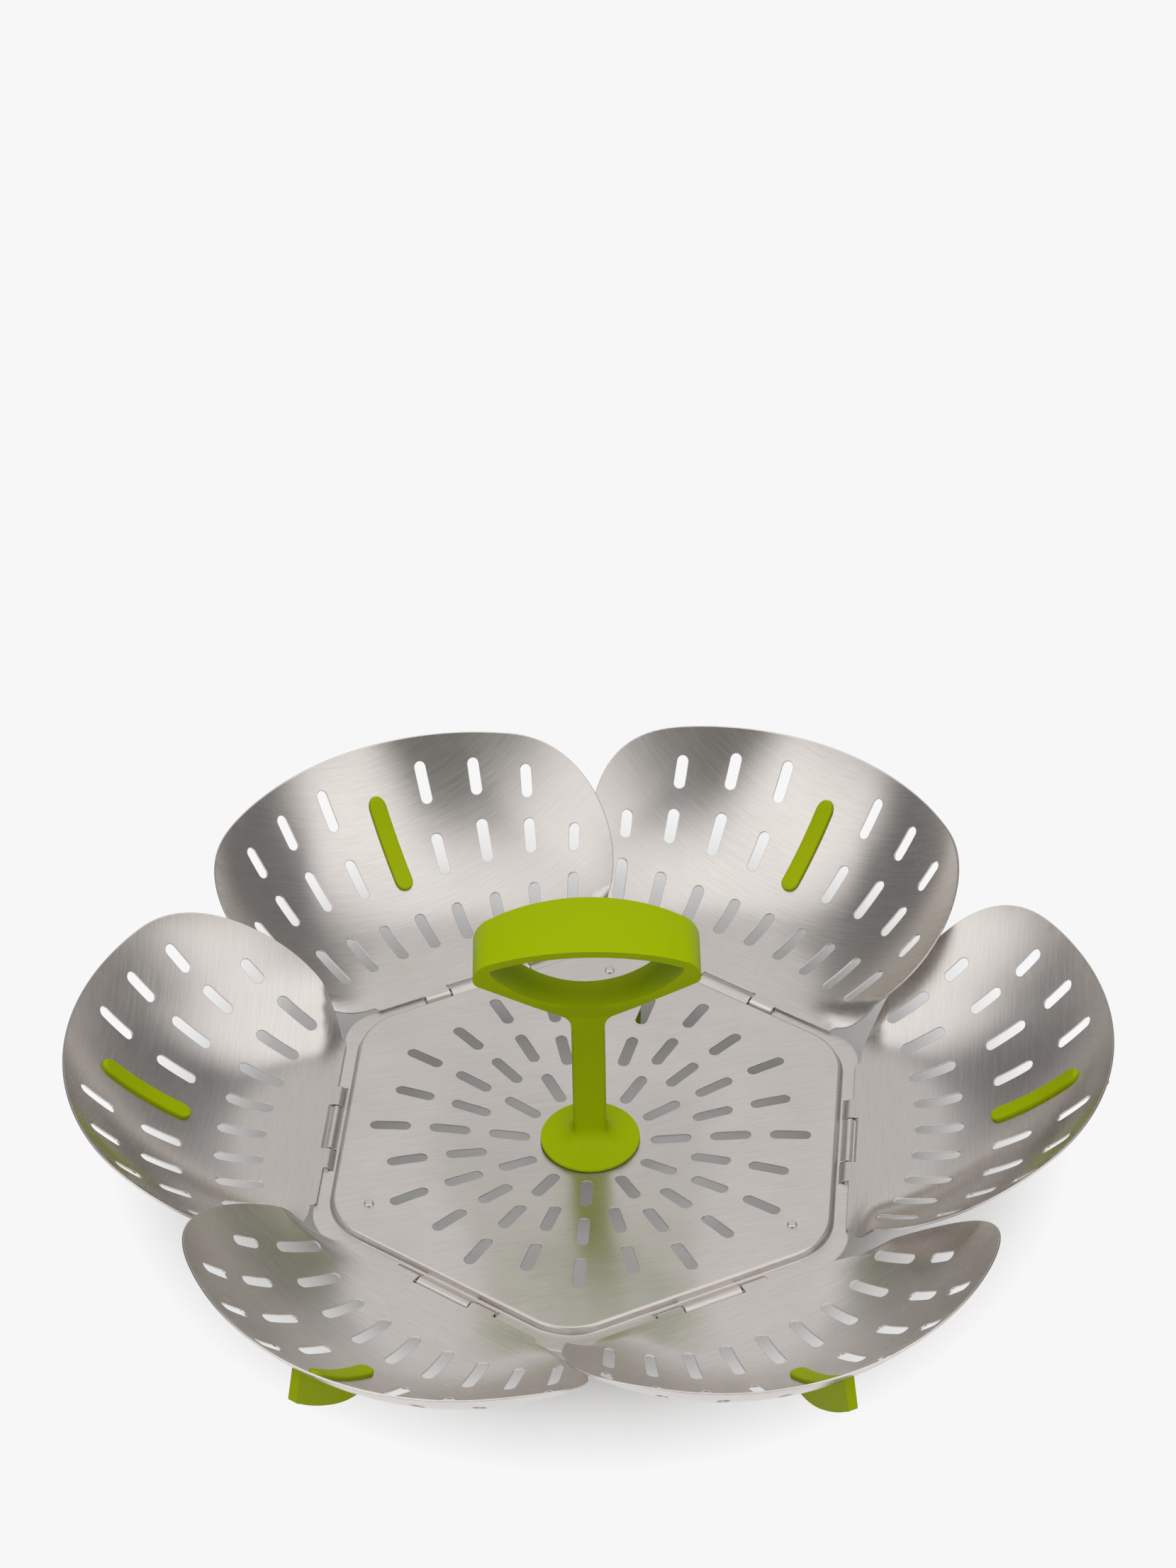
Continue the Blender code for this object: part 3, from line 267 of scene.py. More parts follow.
# Sky, for reflections: each box's azimuth and tilt as above, half sizes, softness and strength
SKY_BASE = 0.20
BOX_FACING = 0.02
SKY = (
    (0, -6, 1.40, 0.46, 0.20, 0.98),
    (120, 53, 0.50, 0.44, 0.20, 1.05),
    (-124, 58, 0.36, 0.44, 0.18, 1.05),
    (0, 50, 0.38, 1.30, 0.40, 0.57),
)

# Floor: a painted white glow rises between two shares of an oval round the basket and fades its shadow into
# the white backdrop
FLOOR_SIZE = 30
FLOOR_COLOUR = (0.90, 0.90, 0.90, 1.0)
PAINTED_GLOW_HALF_WIDTH = 0.125
PAINTED_GLOW_HALF_DEPTH = 0.130
PAINTED_GLOW_BACK = 0.035
PAINTED_GLOW_START_SHARE = 0.68
PAINTED_GLOW_FULL_SHARE = 0.99
PAINTED_GLOW_LEAST = 0.05
BACKDROP_WHITE = 0.93


# Moves and turns

UPRIGHT = Matrix.Rotation(math.pi / 2, 4, "X")


def spin(angle):
    """A turn about the Z axis."""
    return Matrix.Rotation(angle, 4, "Z")


def shift(x, y, z):
    """A move."""
    return Matrix.Translation((x, y, z))


# Sheet metal

def dish_height(radius):
    """Height of the plate's top face, at a distance from its middle."""
    fall = (1 + np.cos(math.pi * np.minimum(radius, DISH_RADIUS) / DISH_RADIUS)) / 2
    return STAND_HEIGHT - DISH_DEPTH * fall


SEAT_RADIUS = DISC_RADIUS + SEAT_MARGIN
SEAT_HEIGHT = float(dish_height(SEAT_RADIUS))


def plate_side(x, y):
    """Places over the plate as distances out from its middle and along the nearest side."""
    turn = np.round(np.arctan2(y, x) / PETAL_STEP) * PETAL_STEP
    return x * np.cos(turn) + y * np.sin(turn), -x * np.sin(turn) + y * np.cos(turn)


def hexagon_distance(x, y, apothem, corner):
    """Distance outside a rounded hexagon whose sides face the petals; negative inside."""
    out, side = plate_side(x, y)
    inner = apothem - corner
    over = np.abs(side) - inner * math.tan(HALF_STEP)
    away = out - inner
    return np.where(over > 0, np.hypot(away, over), away) - corner


def step_profile(steps=6):
    """The plate's step from the side: places out from the panel's outline, and drops below its top."""
    top = [(STEP_TOP_RADIUS, STEP_ANGLE * i / steps) for i in range(steps + 1)]
    outs = [radius * math.sin(angle) for radius, angle in top]
    drops = [radius * (1 - math.cos(angle)) for radius, angle in top]
    fillet = STEP_FOOT_RADIUS * (1 - math.cos(STEP_ANGLE))
    wall = FLANGE_DROP - drops[-1] - fillet
    start, fall = outs[-1] + wall / math.tan(STEP_ANGLE), drops[-1] + wall
    for i in range(steps + 1):
        angle = STEP_ANGLE * (1 - i / steps)
        outs.append(start + STEP_FOOT_RADIUS * (math.sin(STEP_ANGLE) - math.sin(angle)))
        drops.append(fall + STEP_FOOT_RADIUS * (math.cos(angle) - math.cos(STEP_ANGLE)))
    shift = STEP_FOOT_OUT - outs[-1]
    return [out + shift for out in outs], drops


STEP_OUTS = step_profile()[0]
FINE_OUTS, FINE_DROPS = step_profile(40)

# Where a tab of the plate meets its knuckle: angle round the hinge axis, place and slope
TAB_BACK = HINGE_RADIUS - NOTCH_APOTHEM
TAB_UP = FLANGE_HEIGHT - HINGE_HEIGHT
TOUCH = math.atan2(TAB_UP, -TAB_BACK) - math.acos(KNUCKLE_RADIUS / math.hypot(TAB_BACK, TAB_UP))
TAB_END = HINGE_RADIUS + KNUCKLE_RADIUS * math.cos(TOUCH)
TAB_SLOPE = (KNUCKLE_RADIUS * math.sin(TOUCH) - TAB_UP) / (TAB_END - NOTCH_APOTHEM)
TAB_SOFTNESS = 0.00012


def plate_surface(x, y):
    """Height of the plate's top face: dish, rounded step, flange and rising tabs."""
    flat = dish_height(np.maximum(np.hypot(x, y), SEAT_RADIUS))
    outside = hexagon_distance(x, y, PANEL_APOTHEM, PANEL_CORNER)
    level = flat - np.interp(outside, FINE_OUTS, FINE_DROPS)
    out, side = plate_side(x, y)
    beyond = out - NOTCH_APOTHEM
    rise = TAB_SLOPE * (beyond + np.hypot(beyond, TAB_SOFTNESS)) / 2
    on_tab = (np.abs(side - HINGE_SIDE) < TAB_WIDTH / 2 + HINGE_GAP / 2) & (beyond > -2 * TAB_SOFTNESS)
    return level + np.where(on_tab, rise, 0)


def petal_surface(out, side):
    """Height of a petal's top face above its hinge axis."""
    spread = np.hypot(out + BOWL_IN, side - BOWL_SIDE)
    rise = BOWL_HEIGHT - np.sqrt(BOWL_RADIUS**2 - spread**2)
    soft = (rise + np.hypot(rise, FLAT_SOFTNESS)) / 2
    blend = np.clip(out / FLAT_LENGTH, 0, 1)
    return KNUCKLE_RADIUS + soft * blend**2 * (3 - 2 * blend)


def unit(rows):
    """Rows of vectors, each brought to length 1."""
    return rows / np.linalg.norm(rows, axis=1)[:, None]


def surface_normals(surface, points):
    """Unit normals of a height surface over plan points, and its slopes there."""
    x, y = points[:, 0], points[:, 1]
    probe = 2 * PROBE
    slope_x = (surface(x + probe, y) - surface(x - probe, y)) / (2 * probe)
    slope_y = (surface(x, y + probe) - surface(x, y - probe)) / (2 * probe)
    return unit(np.stack([-slope_x, -slope_y, np.ones_like(x)], axis=1)), slope_x, slope_y


def loop_normals(loop):
    """Plan normals of a closed anticlockwise loop, pointing outward, and their mitred lengths."""
    ahead = unit(np.roll(loop, -1, axis=0) - loop)
    right = np.stack([ahead[:, 1], -ahead[:, 0]], axis=1)
    middle = unit(right + np.roll(right, 1, axis=0))
    return middle, 1 / np.clip((middle * right).sum(1), MITRE_LEAST, 1)


def inside_loop(points, loop):
    """Which points lie inside a closed loop."""
    x, y = points[:, 0], points[:, 1]
    found = np.zeros(len(points), bool)
    for (ax, ay), (bx, by) in zip(loop, np.roll(loop, -1, axis=0)):
        crosses = (ay > y) != (by > y)
        if ay != by:
            found ^= crosses & (x < (bx - ax) * (y - ay) / (by - ay) + ax)
    return found


def inside_sheet(points, loops):
    """Which points lie inside the first loop and outside the others."""
    found = inside_loop(points, loops[0])
    for loop in loops[1:]:
        found &= ~inside_loop(points, loop)
    return found


def loop_distance(points, loop):
    """Distance from each point to the nearest corner of a loop."""
    near = np.full(len(points), np.inf)
    for x, y in loop:
        near = np.minimum(near, np.hypot(points[:, 0] - x, points[:, 1] - y))
    return near


def grid_points(low, high):
    """Plan points of an even triangular grid over a box."""
    rows = []
    row_step = MESH_SPACING * math.sqrt(3) / 2
    for j in range(int((high[1] - low[1]) / row_step) + 1):
        xs = np.arange(low[0] + MESH_SPACING / 2 * (j % 2), high[0], MESH_SPACING)
        rows.append(np.stack([xs, np.full(len(xs), low[1] + j * row_step)], axis=1))
    return np.concatenate(rows)


def sheet_triangles(tops, rings, fill):
    """Plan points and triangles of a sheet's top face, and the number there of each point given."""
    points = np.concatenate([*tops, *rings, fill])
    edges = []
    start = 0
    for loop in [*tops, *rings]:
        count = len(loop)
        edges += [(start + k, start + (k + 1) % count) for k in range(count)]
        start += count
    made = delaunay_2d_cdt([Vector(p) for p in points], edges, [], 0, MERGE)
    plan = np.array([tuple(v) for v in made[0]])
    triangles = np.array([tuple(f) for f in made[2]])
    triangles = triangles[inside_sheet(plan[triangles].mean(axis=1), tops)]
    number_of = np.full(len(points), -1)
    for number, given in enumerate(made[3]):
        number_of[given] = number
    return plan, triangles, number_of


def edge_rows(surface, loop, outward, sizes):
    """Points and normals round a sheet's edge, row by row from its top face to its bottom face."""
    base, slope_x, slope_y = surface_normals(surface, loop)
    lift = unit(np.column_stack([outward, outward[:, 0] * slope_x + outward[:, 1] * slope_y]))
    at = np.column_stack([loop, surface(loop[:, 0], loop[:, 1])])
    angles = [math.pi / 2 * k / EDGE_STEPS for k in range(1, EDGE_STEPS + 1)]
    rows = []
    for lower in (False, True):
        for angle in angles[::-1] if lower else angles:
            back = sizes * (1 - math.sin(angle))
            down = sizes * (1 - math.cos(angle))
            depth = SHEET - down if lower else down
            normal = (-base if lower else base) * math.cos(angle) + lift * math.sin(angle)
            place = at - lift * back[:, None] - base * depth[:, None]
            rows.append((place, np.where((sizes > 0)[:, None], normal, lift)))
    return rows


def pressed_sheet(name, surface, outline, holes, flush, rings=()):
    """A sheet of metal over a height surface, with round-edged holes and rim, and its normals.

    Loops run anticlockwise. Where flush is true the outline's edge stays sharp,
    because the sheet rolls on there. Rings refine the mesh along creases.
    """
    loops = [np.array(loop, float) for loop in (outline, *holes)]
    edges = []
    for i, loop in enumerate(loops):
        outward, stretch = loop_normals(loop)
        sizes = EDGE * stretch
        edges.append((-outward, sizes) if i else (outward, np.where(flush, 0, sizes)))
    tops = [loop - outward * sizes[:, None] for loop, (outward, sizes) in zip(loops, edges)]
    fill = grid_points(loops[0].min(0), loops[0].max(0))
    fill = fill[inside_sheet(fill, tops)]
    for loop in [*tops, *rings]:
        fill = fill[loop_distance(fill, loop) > MESH_SPACING * CLEAR_SHARE]
    plan, triangles, number_of = sheet_triangles(tops, rings, fill)
    count = len(plan)
    top_normals = surface_normals(surface, plan)[0]
    top_points = np.column_stack([plan, surface(plan[:, 0], plan[:, 1])])
    verts = [top_points, top_points - top_normals * SHEET]
    normals = [top_normals, -top_normals]
    faces = [*triangles, *(triangles[:, ::-1] + count)]
    total = 2 * count
    start = 0
    for i, (loop, (outward, sizes)) in enumerate(zip(loops, edges)):
        number = len(loop)
        top_row = number_of[start : start + number]
        start += number
        rows = [top_row]
        for place, normal in edge_rows(surface, loop, outward, sizes):
            verts.append(place)
            normals.append(normal)
            rows.append(np.arange(total, total + number))
            total += number
        rows.append(top_row + count)
        for upper, lower in zip(rows, rows[1:]):
            for k in range(number):
                a, b = upper[k], upper[(k + 1) % number]
                c, d = lower[(k + 1) % number], lower[k]
                faces.append((a, b, c, d) if i else (a, d, c, b))
    mesh = bpy.data.meshes.new(name)
    mesh.from_pydata(np.concatenate(verts).tolist(), [], [tuple(int(i) for i in face) for face in faces])
    return mesh, np.concatenate(normals)


def add_grain(mesh, turn):
    """Stores plan places, turned so that U runs along the brushing, as the grain's UV map."""
    layer = mesh.uv_layers.new(name="grain")
    cos, sin = math.cos(turn), math.sin(turn)
    for loop in mesh.loops:
        co = mesh.vertices[loop.vertex_index].co
        layer.data[loop.index].uv = (co.x * cos + co.y * sin, -co.x * sin + co.y * cos)


def slot_loop(place, length):
    """Plan points of a round-ended slot whose long axis lies along the place's X axis."""
    radius = SLOT_WIDTH / 2
    reach = length / 2 - radius
    straight = max(int(2 * reach / OUTLINE_SPACING), 1)
    points = []
    for end, start in ((1, -math.pi / 2), (-1, math.pi / 2)):
        points += arc((end * reach, 0), radius, start, start + math.pi, SLOT_STEPS)
        x, y = points[-1]
        points += [(x - end * 2 * reach * k / straight, y) for k in range(1, straight)]
    return [tuple((place @ Vector((x, y, 0))).xy) for x, y in points]


def arc(centre, radius, start, end, steps):
    """Points of an arc, both ends included."""
    angles = [start + (end - start) * i / steps for i in range(steps + 1)]
    return [(centre[0] + radius * math.cos(angle), centre[1] + radius * math.sin(angle)) for angle in angles]


def divided(points):
    """A closed outline with no long stretches."""
    result = []
    for a, b in zip(points, points[1:] + points[:1]):
        steps = max(math.ceil(math.dist(a, b) / OUTLINE_SPACING), 1)
        result += [(a[0] + (b[0] - a[0]) * k / steps, a[1] + (b[1] - a[1]) * k / steps) for k in range(steps)]
    return result


def rounded_hexagon(apothem, corner, along=()):
    """A rounded hexagon as an anticlockwise outline, with the given points along each side."""
    inner = apothem - corner
    points = []
    for side in range(PETALS):
        local = list(along) + arc((inner, inner * math.tan(HALF_STEP)), corner, 0, PETAL_STEP, 18)
        points += turned_points(local, PETAL_STEP * side)
    return points


def turned_points(points, turn):
    """Plan points turned about the middle of the plate."""
    cos, sin = math.cos(turn), math.sin(turn)
    return [(x * cos - y * sin, x * sin + y * cos) for x, y in points]


def curl_section(low, high):
    """Section of a rolled edge: places across it, depths below its outer face, and normals."""
    section = []
    for edge, inward in ((low, 1), (high, -1)):
        for k in range(EDGE_STEPS + 1):
            angle = math.pi / 2 * (k if inward > 0 else EDGE_STEPS - k) / EDGE_STEPS
            across = edge + inward * EDGE * (1 - math.cos(angle))
            depth = EDGE * (1 - math.sin(angle))
            section.append((across, depth, -inward * math.cos(angle), math.sin(angle)))
    return section + [(across, SHEET - depth, x, -z) for across, depth, x, z in reversed(section)]


def ring_faces(rings, count, capped=True):
    """Faces along a row of rings that have the same count of points, with caps at its ends or without."""
    faces = []
    for i in range(rings - 1):
        for k in range(count):
            a, b = i * count + k, i * count + (k + 1) % count
            faces.append((a, b, b + count, a + count))
    if capped:
        faces += [tuple(range(count))[::-1], tuple(range((rings - 1) * count, rings * count))]
    return faces


def curl(low, high, start, direction):
    """A rolled edge round the hinge axis, on from the start: direction 1 for a petal, -1 for the plate."""
    section = curl_section(low, high)
    verts, normals = [], []
    for i in range(CURL_STEPS + 1):
        angle = start + direction * CURL_SWEEP * i / CURL_STEPS
        radial = Vector((math.cos(angle), 0, math.sin(angle)))
        for across, depth, side_part, out_part in section:
            verts.append(radial * (KNUCKLE_RADIUS - depth) + Vector((0, across, 0)))
            normals.append(radial * out_part + Vector((0, side_part, 0)))
    faces = ring_faces(CURL_STEPS + 1, len(section))
    if direction < 0:
        faces = [face[::-1] for face in faces]
    return verts, normals, faces


def join_parts(mesh, normals, parts):
    """One mesh of a sheet and its rolled edges, with the true surface normals on every corner."""
    verts = [tuple(v.co) for v in mesh.vertices]
    faces = [tuple(p.vertices) for p in mesh.polygons]
    all_normals = [tuple(n) for n in normals]
    for part_verts, part_normals, part_faces in parts:
        start = len(verts)
        verts += [tuple(v) for v in part_verts]
        all_normals += [tuple(n) for n in part_normals]
        faces += [tuple(start + i for i in face) for face in part_faces]
    mesh.clear_geometry()
    mesh.from_pydata(verts, [], faces)
    mesh.shade_smooth()
    mesh.normals_split_custom_set_from_vertices(all_normals)


def add_object(name, data):
    """An object of a mesh, curve, camera or lamp, in the scene."""
    obj = bpy.data.objects.new(name, data)
    bpy.context.scene.collection.objects.link(obj)
    return obj


def add_copy(name, mesh, place):
    """An object with its own copy of the mesh, moved to the place."""
    copy = mesh.copy()
    copy.transform(place)
    return add_object(name, copy)


def taken_mesh(obj):
    """The mesh of an object, which is removed."""
    mesh = obj.data
    bpy.data.objects.remove(obj, do_unlink=True)
    return mesh


# Petals

def petal_point(out, side):
    """A point on a petal's top face."""
    return Vector((out, side, float(petal_surface(out, side))))


def petal_frame(out, side, turn=0.0):
    """Frame on a petal's top face: X along the turned ray, Z square to the sheet."""
    cos, sin = PROBE * math.cos(turn), PROBE * math.sin(turn)
    origin = petal_point(out, side)
    x_axis = (petal_point(out + cos, side + sin) - origin).normalized()
    z_axis = x_axis.cross(petal_point(out - sin, side + cos) - origin).normalized()
    place = Matrix((x_axis, z_axis.cross(x_axis), z_axis)).transposed().to_4x4()
    place.translation = origin
    return place


def side_curve(side, half_width, steps=48):
    """A petal's side from the hinge's edge out to the rim, as points in plan."""
    meet = Vector((math.cos(side["meet"]), math.sin(side["meet"])))
    along_rim = Vector((meet.y, -meet.x)) * math.copysign(1, side["meet"])
    start = Vector((WINDOW_OUT, half_width))
    first = start + Vector((math.cos(side["leave"]), math.sin(side["leave"]))) * side["pull"]
    end = Vector((-BOWL_IN, BOWL_SIDE)) + meet * RIM_RADIUS
    last = end - along_rim * side["ease"]
    points = []
    for i in range(steps + 1):
        share = i / steps
        rest = 1 - share
        near = start * rest**3 + first * 3 * rest**2 * share
        points.append(near + last * 3 * rest * share**2 + end * share**3)
    return [tuple(p) for p in points]


def petal_outline():
    """A petal's outline, which of its points lie on a rolled edge, and where its tongues end."""
    lead = side_curve(LEAD_SIDE, -PETAL_HALF_WIDTH)
    trail = side_curve(TRAIL_SIDE, PETAL_HALF_WIDTH)
    rim = arc((-BOWL_IN, BOWL_SIDE), RIM_RADIUS, LEAD_SIDE["meet"], TRAIL_SIDE["meet"], 90)
    window = TAB_WIDTH / 2 + HINGE_GAP
    tongue = window + TONGUE_WIDTH
    marks = [HINGE_SIDE + offset for offset in (tongue, window, -window, -tongue)]
    lead_corner = (PETAL_EDGE, EDGE_CORNER - PETAL_HALF_WIDTH)
    trail_corner = (PETAL_EDGE, PETAL_HALF_WIDTH - EDGE_CORNER)
    points = rounded_corner((PETAL_EDGE, marks[3]), lead_corner, lead[0], EDGE_CORNER, 5)
    points += rounded_corner(lead_corner, lead[0], lead[1], EDGE_CORNER, 4)
    points += lead[1:] + rim[1:-1] + trail[:0:-1]
    points += rounded_corner(trail[1], trail[0], trail_corner, EDGE_CORNER, 4)
    points += rounded_corner(trail[0], trail_corner, (PETAL_EDGE, marks[0]), EDGE_CORNER, 5)
    points += [(PETAL_EDGE, marks[0]), (0.0, marks[0]), (0.0, marks[1]), (WINDOW_OUT, marks[1])]
    points += [(WINDOW_OUT, marks[2]), (0.0, marks[2]), (0.0, marks[3]), (PETAL_EDGE, marks[3])]
    points = divided(points)
    x, y = np.array(points).T
    off_tongue = np.abs(np.abs(y - HINGE_SIDE) - (window + tongue) / 2)
    return points, (x < GAP / 2) & (off_tongue < (TONGUE_WIDTH + GAP) / 2), marks


def petal_slot_loops():
    """The slots of a petal, in three rows on rays from one focus."""
    rows = [(ray, LOWER_ROW_SHARE, 1.0) for ray in range(-LOWER_ROW_RAYS, LOWER_ROW_RAYS + 1)]
    for shares in (MIDDLE_ROW_SHARES, UPPER_ROW_SHARES):
        for ray, (reach_share, length_share) in enumerate(shares, start=1):
            rows += [(ray, reach_share, length_share), (-ray, reach_share, length_share)]
    loops = []
    for ray, reach_share, length_share in rows:
        turn = RAY_STEP * ray
        reach = RAY_REACH * reach_share
        place = petal_frame(reach * math.cos(turn) - FOCUS_IN, reach * math.sin(turn) + BOWL_SIDE, turn)
        loops.append(slot_loop(place, PETAL_SLOT_LENGTH * length_share))
    return loops


def petal_mesh():
    """The fine mesh that all petals share."""
    outline, flush, marks = petal_outline()
    mesh, normals = pressed_sheet("petal", petal_surface, outline, petal_slot_loops(), flush)
    curls = [curl(marks[1], marks[0], math.pi / 2, 1), curl(marks[3], marks[2], math.pi / 2, 1)]
    join_parts(mesh, normals, curls)
    add_grain(mesh, math.pi / 2)
    return mesh


# Floor plate

def plate_outline():
    """The plate's outline, with notches and a tab on each side, and which points lie on a rolled edge."""
    half = TAB_WIDTH / 2
    stations = [(FLANGE_APOTHEM, -NOTCH_HALF), (NOTCH_APOTHEM, -NOTCH_HALF)]
    stations += [(NOTCH_APOTHEM, -half), (TAB_END, -half)]
    stations += [(out, -offset) for out, offset in reversed(stations)]
    along = [(out, HINGE_SIDE + offset) for out, offset in stations]
    outline = divided(rounded_hexagon(FLANGE_APOTHEM, FLANGE_CORNER, along))
    out, side = plate_side(*np.array(outline).T)
    return outline, (out > TAB_END - GAP / 2) & (np.abs(side - HINGE_SIDE) < half + HINGE_GAP / 2)


def plate_slot_loops():
    """The plate's slots, on spokes in turn of three and of two, and the hole for the screw."""
    loops = []
    for spoke in range(PLATE_SPOKES):
        odd = spoke % 2
        radii = [MIDDLE_SLOT_RADII[odd], OUTER_SLOT_RADII[odd]] + [INNER_SLOT_RADIUS] * (1 - odd)
        spun = spin(PLATE_SLOT_TURN + math.tau * spoke / PLATE_SPOKES)
        loops += [slot_loop(spun @ shift(radius, 0, 0), PLATE_SLOT_LENGTH) for radius in radii]
    return loops + [arc((0, 0), SCREW_RADIUS + GAP, 0, math.tau, 32)[:-1]]


def plate_creases():
    """Rings along the plate's step and across the foot of each tab."""
    rings = [divided(rounded_hexagon(PANEL_APOTHEM + out, PANEL_CORNER + out)) for out in STEP_OUTS]
    low, high = NOTCH_APOTHEM - TAB_SOFTNESS, NOTCH_APOTHEM + 2 * TAB_SOFTNESS
    right, left = HINGE_SIDE - TAB_WIDTH / 2 + GAP, HINGE_SIDE + TAB_WIDTH / 2 - GAP
    bend = divided([(low, right), (high, right), (high, left), (low, left)])
    rings += [turned_points(bend, PETAL_STEP * side) for side in range(PETALS)]
    return [np.array(ring) for ring in rings]


def plate_mesh():
    """The fine mesh of the floor plate: dished, slotted, stepped, with six rolled tabs."""
    outline, flush = plate_outline()
    holes, creases = plate_slot_loops(), plate_creases()
    mesh, normals = pressed_sheet("floor_plate", plate_surface, outline, holes, flush, creases)
    verts, curl_normals, faces = curl(HINGE_SIDE - TAB_WIDTH / 2, HINGE_SIDE + TAB_WIDTH / 2, TOUCH, -1)
    curls = []
    for side in range(PETALS):
        spun = spin(PETAL_STEP * side)
        moved = spun @ shift(HINGE_RADIUS, 0, HINGE_HEIGHT)
        curls.append(([moved @ v for v in verts], [spun.to_3x3() @ n for n in curl_normals], faces))
    join_parts(mesh, normals, curls)
    add_grain(mesh, PLATE_GRAIN_TURN)
    return mesh


# Moulded and turned pieces

def bmesh_object(name, bm):
    """An object of a bmesh, which is freed."""
    mesh = bpy.data.meshes.new(name)
    bm.to_mesh(mesh)
    bm.free()
    return add_object(name, mesh)


def box_object(name, size, centre, top_share=1.0):
    """A box, whose top face may be shorter along X."""
    bm = bmesh.new()
    bmesh.ops.create_cube(bm, size=1)
    for vert in bm.verts:
        x, y, z = (share * length for share, length in zip(vert.co, size))
        vert.co = Vector(centre) + Vector((x * top_share if z > 0 else x, y, z))
    return bmesh_object(name, bm)


def settle(obj):
    """Applies an object's modifiers, or turns a curve into a mesh."""
    bpy.context.view_layer.update()
    depsgraph = bpy.context.evaluated_depsgraph_get()
    mesh = bpy.data.meshes.new_from_object(obj.evaluated_get(depsgraph))
    mesh.transform(obj.matrix_world)
    name = obj.name
    bpy.data.objects.remove(obj, do_unlink=True)
    mesh.materials.clear()
    return add_object(name, mesh)


def combine(obj, tool, operation):
    """Joins, cuts or intersects the object with a tool and removes the tool."""
    modifier = obj.modifiers.new("combine", "BOOLEAN")
    modifier.operation = operation
    modifier.solver = "EXACT"
    modifier.object = tool
    obj = settle(obj)
    bpy.data.objects.remove(tool, do_unlink=True)
    return obj


def rounded(obj, width, segments, degrees):
    """The object with its edges rounded where they are sharper than an angle."""
    modifier = obj.modifiers.new("rounding", "BEVEL")
    modifier.width = width
    modifier.segments = segments
    modifier.limit_method = "ANGLE"
    modifier.angle_limit = math.radians(degrees)
    return settle(obj)


def smooth(obj, degrees):
    """The object with smooth shading, and sharp edges above an angle."""
    obj.data.shade_smooth()
    obj.data.set_sharp_from_angle(angle=math.radians(degrees))
    return obj


def outline_object(name, outlines, thickness):
    """A flat piece: closed outlines in the XY plane, filled and extruded to a thickness."""
    curve = bpy.data.curves.new(name, "CURVE")
    curve.dimensions = "2D"
    curve.fill_mode = "BOTH"
    curve.extrude = thickness / 2
    for outline in outlines:
        spline = curve.splines.new("POLY")
        spline.points.add(len(outline) - 1)
        spline.use_cyclic_u = True
        for point, (x, y) in zip(spline.points, outline):
            point.co = (x, y, 0, 1)
    return add_object(name, curve)


def rounded_corner(before, corner, after, radius, steps):
    """Points that round one corner of an outline."""
    corner = Vector(corner)
    into = (corner - Vector(before)).normalized()
    away = (Vector(after) - corner).normalized()
    turn = into.angle_signed(away)
    setback = radius * math.tan(abs(turn) / 2)
    start = corner - into * setback
    inward = Vector((-into.y, into.x)) * math.copysign(1, -turn)
    centre = start + inward * radius
    first = start - centre
    return [tuple(centre + Matrix.Rotation(-turn * i / steps, 2) @ first) for i in range(steps + 1)]


def loft(name, rings, capped=True):
    """A solid through rings with the same number of points; without caps its ends are welded."""
    faces = ring_faces(len(rings), len(rings[0]), capped)
    mesh = bpy.data.meshes.new(name)
    mesh.from_pydata([tuple(point) for ring in rings for point in ring], [], faces)
    bm = bmesh.new()
    bm.from_mesh(mesh)
    if not capped:
        bmesh.ops.remove_doubles(bm, verts=bm.verts, dist=WELD)
    bmesh.ops.recalc_face_normals(bm, faces=bm.faces)
    bm.to_mesh(mesh)
    bm.free()
    return add_object(name, mesh)


def turned(name, profile, steps, degrees):
    """A smooth solid of revolution about the Z axis; the profile ends on it or meets itself."""
    rings = []
    for radius, height in profile:
        rings.append([(x, y, height) for x, y in arc((0, 0), radius, 0, math.tau, steps)[:-1]])
    return smooth(loft(name, rings, capped=False), degrees)


def stem_section(share, radius):
    """A section of the handle's foot: from a circle at share 0 to the flat stem at share 1."""
    points = []
    flat_x, flat_y = STEM_WIDTH / 2 - STEM_CORNER, STEM_DEPTH / 2 - STEM_CORNER
    for i in range(FOOT_SIDES):
        angle = math.tau * (i + 0.5) / FOOT_SIDES
        cos, sin = math.cos(angle), math.sin(angle)
        low, high = 0.0, (STEM_WIDTH + STEM_DEPTH) / 2
        for _ in range(30):
            middle = (low + high) / 2
            over_x, over_y = abs(cos) * middle - flat_x, abs(sin) * middle - flat_y
            distance = math.hypot(max(over_x, 0), max(over_y, 0)) + min(max(over_x, over_y), 0) - STEM_CORNER
            low, high = (middle, high) if distance < 0 else (low, middle)
        reach = radius * (1 - share) + low * share
        points.append((reach * cos, reach * sin))
    return points


def make_stem():
    """Round foot that sweeps up into the flat stem."""
    sections = [(height, DISC_RADIUS - inset, 0.0) for height, inset in DISC_FOOT_ROUNDING]
    sections += [(DISC_EDGE - drop, DISC_RADIUS - inset, 0.0) for drop, inset in DISC_TOP_ROUNDING]
    for i in range(1, FOOT_STEPS + 1):
        angle = math.pi / 2 * i / FOOT_STEPS
        radius = STEM_DEPTH / 2 + (DISC_RADIUS - STEM_DEPTH / 2) * (1 - math.sin(angle))
        height = DISC_EDGE + (FOOT_HEIGHT - DISC_EDGE) * (1 - math.cos(angle))
        sections.append((height, radius, math.sin(angle) ** 2))
    sections.append((GRIP_BASE + GRIP_WALL / 2, STEM_DEPTH / 2, 1.0))
    rings = []
    for height, radius, share in sections:
        rings.append([(x, y, height) for x, y in stem_section(share, radius)])
    return loft("stem", rings)


